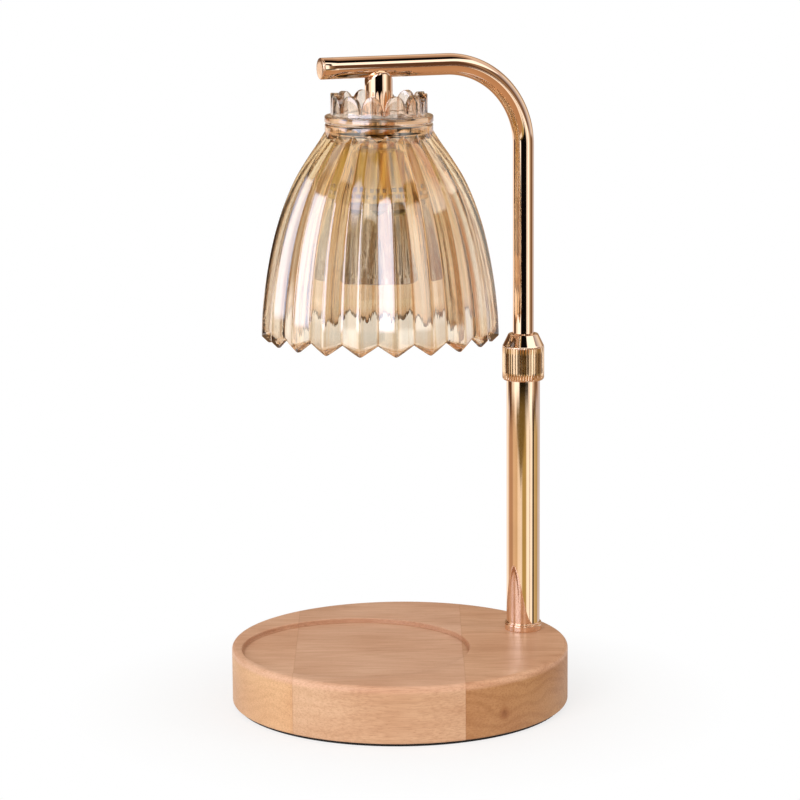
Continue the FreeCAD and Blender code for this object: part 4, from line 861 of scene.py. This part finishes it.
def make_lamp():
    """Faceted reflector with a patterned front glass."""
    rim = BULB_FRONT + BULB_RIM
    depth = BULB_BACK - rim
    count = BULB_FACETS * FACET_STEPS

    def faceted(radius, z, dent):
        points = []
        for index in range(count):
            angle = TAU * index / count
            r = radius - dent(index)
            points.append((SHADE_X + r * math.cos(angle), r * math.sin(angle), z))
        return points

    outline = [(BULB_R - 0.9, BULB_FRONT), (BULB_R - 0.25, BULB_FRONT), (BULB_R, BULB_FRONT + 0.25),
               (BULB_R, rim - 0.5), (BULB_R - 0.35, rim + 0.1), (BULB_R - 0.5, rim + 0.5)]
    rings = [circle(radius, z, SHADE_X, count) for radius, z in outline]
    steps = 24
    for step in range(1, steps + 1):
        share = step / steps
        row_dent = 0.12 * abs(math.sin(math.pi * BULB_ROWS * share))
        radius = reflector_radius(share) - 0.3 * (1.0 - share) - row_dent
        rings.append(faceted(radius, rim + depth * share, lambda index: 0.3 * (1.0 - bulge(index))))
    rings.append(circle(BULB_NECK - BULB_WALL, BULB_BACK, SHADE_X, count))
    bm = bmesh.new()
    bm.from_mesh(ring_mesh("lamp_reflector", rings))
    inside = []
    for row in range(BULB_ROWS + 1):
        share = 1.0 - row / BULB_ROWS
        z = rim + (depth - BULB_WALL - 0.1) * share
        ring = faceted(reflector_radius(share) - BULB_WALL, z, lambda index: 0.35 * bulge(index))
        inside.append(add_ring(bm, ring))
    inside.append(add_ring(bm, circle(BULB_R - 0.9, BULB_FRONT + 0.01, SHADE_X, count)))
    for high, low in zip(inside, inside[1:]):
        for index in range(count):
            after = (index + 1) % count
            bm.faces.new((low[index], low[after], high[after], high[index]))
    back = bm.verts.new((SHADE_X * MM, 0.0, (BULB_BACK - BULB_WALL) * MM))
    for index in range(count):
        bm.faces.new((inside[0][index], inside[0][(index + 1) % count], back))
    bmesh.ops.remove_doubles(bm, verts=bm.verts, dist=0.02 * MM)
    finish_piece("lamp_reflector", mesh_from(bm, "lamp_reflector"), MIRROR, "bulb",
                 "bulb_reflector", 24.0)
    low = BULB_FRONT + 0.4
    top = low + LENS_DEPTH
    edge = BULB_R - LENS_INSET
    lens = [(0.0, low), (edge - 0.3, low), (edge, low + 0.3), (edge, top)]
    steps = LENS_RINGS * 4
    for step in range(steps):
        lens.append(((edge - 0.6) * (1.0 - step / steps), top - 0.45 * abs(math.sin(math.pi * step / 4.0))))
    lens.append((0.0, top))
    finish_piece("lamp_front_glass", lathe("lamp_front_glass", lens, SHADE_X, 96), CLEAR_GLASS,
                 "bulb", "bulb_lens", 40.0)


make_foot()
make_pole()
make_nut()
make_arm()
make_neck()
make_shade()
make_cup()
make_lamp()


# Floor, light and camera
def camera_axes():
    azimuth, elevation = math.radians(CAMERA_AZ), math.radians(CAMERA_EL)
    back = Vector((math.sin(azimuth) * math.cos(elevation), -math.cos(azimuth) * math.cos(elevation),
                   math.sin(elevation)))
    right = Vector((math.cos(azimuth), math.sin(azimuth), 0.0))
    return back, right, back.cross(right)


def make_floor():
    mesh = lathe("studio_floor", [(0.0, 0.0), (120.0, 0.0), (350.0, 0.0), (900.0, 0.0)], 0.0)
    material, tree, shader = new_material("studio_floor")
    fill(tree, shader, {"Base Color": (0.90, 0.89, 0.88), "Roughness": 0.8})
    glow = fill(tree, add(tree, "ShaderNodeEmission"), {"Color": FULL})
    path = add(tree, "ShaderNodeLightPath")
    seen = math_node(tree, "MAXIMUM", path.outputs["Is Camera Ray"], path.outputs["Is Transmission Ray"])
    from_middle = vector_node(tree, "LENGTH", object_point(tree))
    away = ramp(tree, from_middle, [(0.085, (0.74, 0.74, 0.74)), (0.16, FULL)])
    surface = mix_shader(tree, times(tree, seen, away), shader.outputs[0], glow.outputs[0])
    # Reflections see the studio through the floor, but for the part that is close to the foot
    clear = add(tree, "ShaderNodeBsdfTransparent")
    far = ramp(tree, from_middle, [(0.10, ZERO), (0.13, FULL)])
    gone = times(tree, path.outputs["Is Glossy Ray"], far)
    surface = mix_shader(tree, gone, surface, clear.outputs[0])
    fill(tree, tree.nodes["Material Output"], {"Surface": surface})
    mesh.materials.append(material)
    floor = bpy.data.objects.new("studio_floor", mesh)
    bpy.context.scene.collection.objects.link(floor)


def make_world():
    """Bright studio with dark gaps between its soft panels, which polished metal shows as stripes.

    A ramp runs once around the room, in degrees from the camera's side, with the right positive.
    """
    world = bpy.data.worlds.new("studio")
    bpy.context.scene.world = world
    world.use_nodes = True
    tree = world.node_tree
    direction = add(tree, "ShaderNodeTexCoord").outputs["Generated"]
    azimuth = math.radians(CAMERA_AZ)
    toward = (math.sin(azimuth), -math.cos(azimuth), 0.0)
    right = (math.cos(azimuth), math.sin(azimuth), 0.0)
    front = vector_node(tree, "DOT_PRODUCT", direction, toward)
    side = vector_node(tree, "DOT_PRODUCT", direction, right)
    rise = vector_node(tree, "DOT_PRODUCT", direction, (0.0, 0.0, 1.0))

    def turn_share(opposite, adjacent):
        """Angle as a share of a turn, 0.5 straight ahead."""
        angle = math_node(tree, "ARCTAN2", opposite, adjacent)
        return plus(tree, times(tree, angle, 1.0 / TAU), 0.5)

    def at(degrees):
        return 0.5 + degrees / 360.0

    around = turn_share(side, front)
    window, white, cream = (3.2, 3.2, 3.7), (1.55, 1.48, 1.38), (1.0, 0.88, 0.72)
    pane, sheen = (2.1, 2.1, 2.6), (1.20, 1.10, 0.95)
    tan, brown, black = (0.40, 0.26, 0.15), (0.13, 0.06, 0.03), (0.004, 0.003, 0.003)
    blush, olive = (0.66, 0.60, 0.60), (0.20, 0.13, 0.035)
    gold, peach = (0.48, 0.34, 0.11), (0.85, 0.66, 0.50)
    flare, rim = (1.35, 1.12, 0.92), (1.0, 0.90, 0.82)
    # Just below the horizon: what the upper tube and the nut's grip show
    high = ramp(tree, around, [
        (0.0, blush), (at(-142), flare), (at(-130), rim), (at(-126), brown), (at(-92), brown),
        (at(-84), cream), (at(-74), cream), (at(-60), white), (at(-33), white), (at(-26), black),
        (at(30), black), (at(36), cream), (at(42.4), white), (at(43), brown), (at(46), brown),
        (at(46.6), white), (at(54), white), (at(66), cream), (at(80), tan), (at(98), brown),
        (at(112), tan), (at(126), blush), (1.0, blush),
    ])
    # Below that: what the top of the lower tube shows
    low = ramp(tree, around, [
        (0.0, blush), (at(-142), flare), (at(-128), rim), (at(-112), blush), (at(-106), black),
        (at(-92), brown), (at(-82), tan), (at(-66), tan), (at(-62), cream), (at(-52), cream),
        (at(-46), olive), (at(8), olive), (at(15), (0.55, 0.50, 0.42)), (at(38), (0.70, 0.64, 0.56)),
        (at(44), white), (at(58), white), (at(63), brown), (at(90), black), (at(97), blush),
        (1.0, blush),
    ])
    # Lower still: what the rest of the lower tube and its collar show
    lower = ramp(tree, around, [
        (0.0, blush), (at(-142), flare), (at(-130), rim), (at(-112), (0.55, 0.32, 0.18)),
        (at(-84), (0.50, 0.30, 0.17)), (at(-72), (0.80, 0.56, 0.34)), (at(-46), (0.72, 0.50, 0.28)),
        (at(-38), (1.0, 0.82, 0.60)), (at(-14), cream), (at(-6), gold), (at(16), gold), (at(24), sheen),
        (at(42.4), sheen), (at(43), brown), (at(46), brown), (at(46.6), sheen), (at(62), sheen),
        (at(67), black), (at(75), black), (at(80), (0.66, 0.50, 0.26)), (at(108), gold),
        (at(122), blush), (1.0, blush),
    ])
    # Above the horizon: a tall window on the left, gaps between panels and a dim right side
    side_window = ramp(tree, around, [
        (0.0, tan), (at(-140), brown), (at(-125), brown), (at(-116), tan), (at(-106), cream),
        (at(-95), cream), (at(-89), pane), (at(-76), pane), (at(-71), tan), (at(-60), tan),
        (at(-56), window), (at(-23), window), (at(-18), tan), (at(0), tan), (at(4), white),
        (at(12), white), (at(18), tan), (at(34), brown), (at(50), brown), (at(58), tan),
        (at(74), brown), (at(98), blush), (at(124), cream), (at(140), tan), (1.0, tan),
    ])
    # Steeply above: what the cone of the nut shows
    upper = ramp(tree, around, [
        (0.0, peach), (at(-150), peach), (at(-100), (0.50, 0.26, 0.13)), (at(-30), (0.64, 0.37, 0.18)),
        (at(-22), (0.95, 0.68, 0.34)), (at(-18), black), (at(22), black), (at(28), white), (at(92), white),
        (at(100), (0.75, 0.60, 0.56)), (at(150), peach), (1.0, peach),
    ])
    # Over the top, from the camera's side at 0: what the arm shows
    arch = ramp(tree, turn_share(rise, front), [
        (0.0, peach), (at(-150), (0.42, 0.24, 0.12)), (at(-60), (0.60, 0.33, 0.17)),
        (at(-14), (0.52, 0.28, 0.14)), (at(-8), white), (at(62), white), (at(67), black), (at(94), black),
        (at(101), (0.42, 0.26, 0.16)), (at(130), (0.66, 0.45, 0.32)), (at(165), peach), (1.0, peach),
    ])
    # What shows through the glass: a white backdrop, and darker warm sides with panels between
    lamp, shadow, orange = (1.45, 1.38, 1.32), (0.03, 0.015, 0.008), (0.62, 0.29, 0.10)
    sides = ramp(tree, around, [
        (0.0, FULL), (at(-128), FULL), (at(-118), tan), (at(-104), tan),
        (at(-99), lamp), (at(-80), lamp), (at(-74), tan), (at(-58), tan), (at(-52), lamp),
        (at(-41), lamp), (at(-37), shadow), (at(-19), shadow), (at(-15), lamp), (at(-1), lamp),
        (at(3), shadow), (at(20), shadow), (at(24), lamp), (at(36), lamp), (at(44), orange),
        (at(70), orange), (at(76), cream), (at(88), cream), (at(94), orange), (at(116), orange),
        (at(128), FULL), (1.0, FULL),
    ])

    def between(value, start, stop):
        share = add(tree, "ShaderNodeMapRange", interpolation_type="SMOOTHSTEP")
        return fill(tree, share, {"Value": value, "From Min": start, "From Max": stop}).outputs[0]

    # The olive band of the lower tube narrows to a point downwards
    from_band = math_node(tree, "ABSOLUTE", math_node(tree, "SUBTRACT", around, at(-18)))
    taper = times(tree, math_node(tree, "MINIMUM", from_band, 0.1), 0.21)
    falling = between(math_node(tree, "SUBTRACT", rise, taper), -0.214, -0.204)
    horizon = mix_color(tree, falling, lower, low)
    horizon = mix_color(tree, between(rise, -0.186, -0.178), horizon, high)
    horizon = mix_color(tree, between(rise, -0.06, -0.01), horizon, side_window)
    window_top = times(tree, between(around, at(10), at(22)), 0.1)
    steep = between(plus(tree, rise, window_top), 0.58, 0.61)
    room = mix_color(tree, steep, horizon, upper)
    room = mix_color(tree, between(rise, 0.75, 0.80), room, arch)
    room = mix_color(tree, between(rise, -0.258, -0.268), room, arch)
    path = add(tree, "ShaderNodeLightPath")
    glassy = mix_color(tree, between(front, -0.45, -0.62), sides, FULL)
    room = mix_color(tree, path.outputs["Is Transmission Ray"], room, glassy)
    lit = mix_color(tree, path.outputs["Is Diffuse Ray"], room, (0.62, 0.60, 0.58))
    color = mix_color(tree, path.outputs["Is Camera Ray"], lit, FULL)
    fill(tree, tree.nodes["Background"], {"Color": color, "Strength": 1.0})


def area_light(name, place, aim, size, power, color):
    """Soft light that metal and glass don't show, because the world makes their reflections."""
    data = bpy.data.lights.new(name, "AREA")
    data.shape = "RECTANGLE"
    data.size, data.size_y = size
    data.energy = power
    data.color = color
    light = bpy.data.objects.new(name, data)
    bpy.context.scene.collection.objects.link(light)
    light.location = place
    light.rotation_euler = (Vector(aim) - Vector(place)).to_track_quat("-Z", "Y").to_euler()
    light.visible_glossy = False
    light.visible_transmission = False


def make_camera():
    back, right, up = camera_axes()
    roll = math.radians(CAMERA_ROLL)
    right, up = right * math.cos(roll) + up * math.sin(roll), up * math.cos(roll) - right * math.sin(roll)
    data = bpy.data.cameras.new("photo_camera")
    data.sensor_width = 36.0
    data.lens = CAMERA_FOCAL
    data.shift_x, data.shift_y = CAMERA_SHIFT_X, CAMERA_SHIFT_Y
    data.clip_end = 20.0
    camera = bpy.data.objects.new("photo_camera", data)
    bpy.context.scene.collection.objects.link(camera)
    matrix = Matrix((right, up, back)).transposed().to_4x4()
    matrix.translation = Vector((0.0, 0.0, CAMERA_AIM_Z * MM)) + back * CAMERA_DISTANCE * MM
    camera.matrix_world = matrix
    bpy.context.scene.camera = camera


make_floor()
make_world()
area_light("key_left", (-1.1, -1.0, 0.75), (0.0, 0.0, 0.12), (0.9, 0.9), 14.0, (1.0, 0.97, 0.93))
area_light("fill_right", (1.2, -0.8, 0.6), (0.0, 0.0, 0.15), (0.8, 0.8), 5.0, (1.0, 0.96, 0.92))
make_camera()

bpy.context.scene.view_settings.view_transform = "Standard"
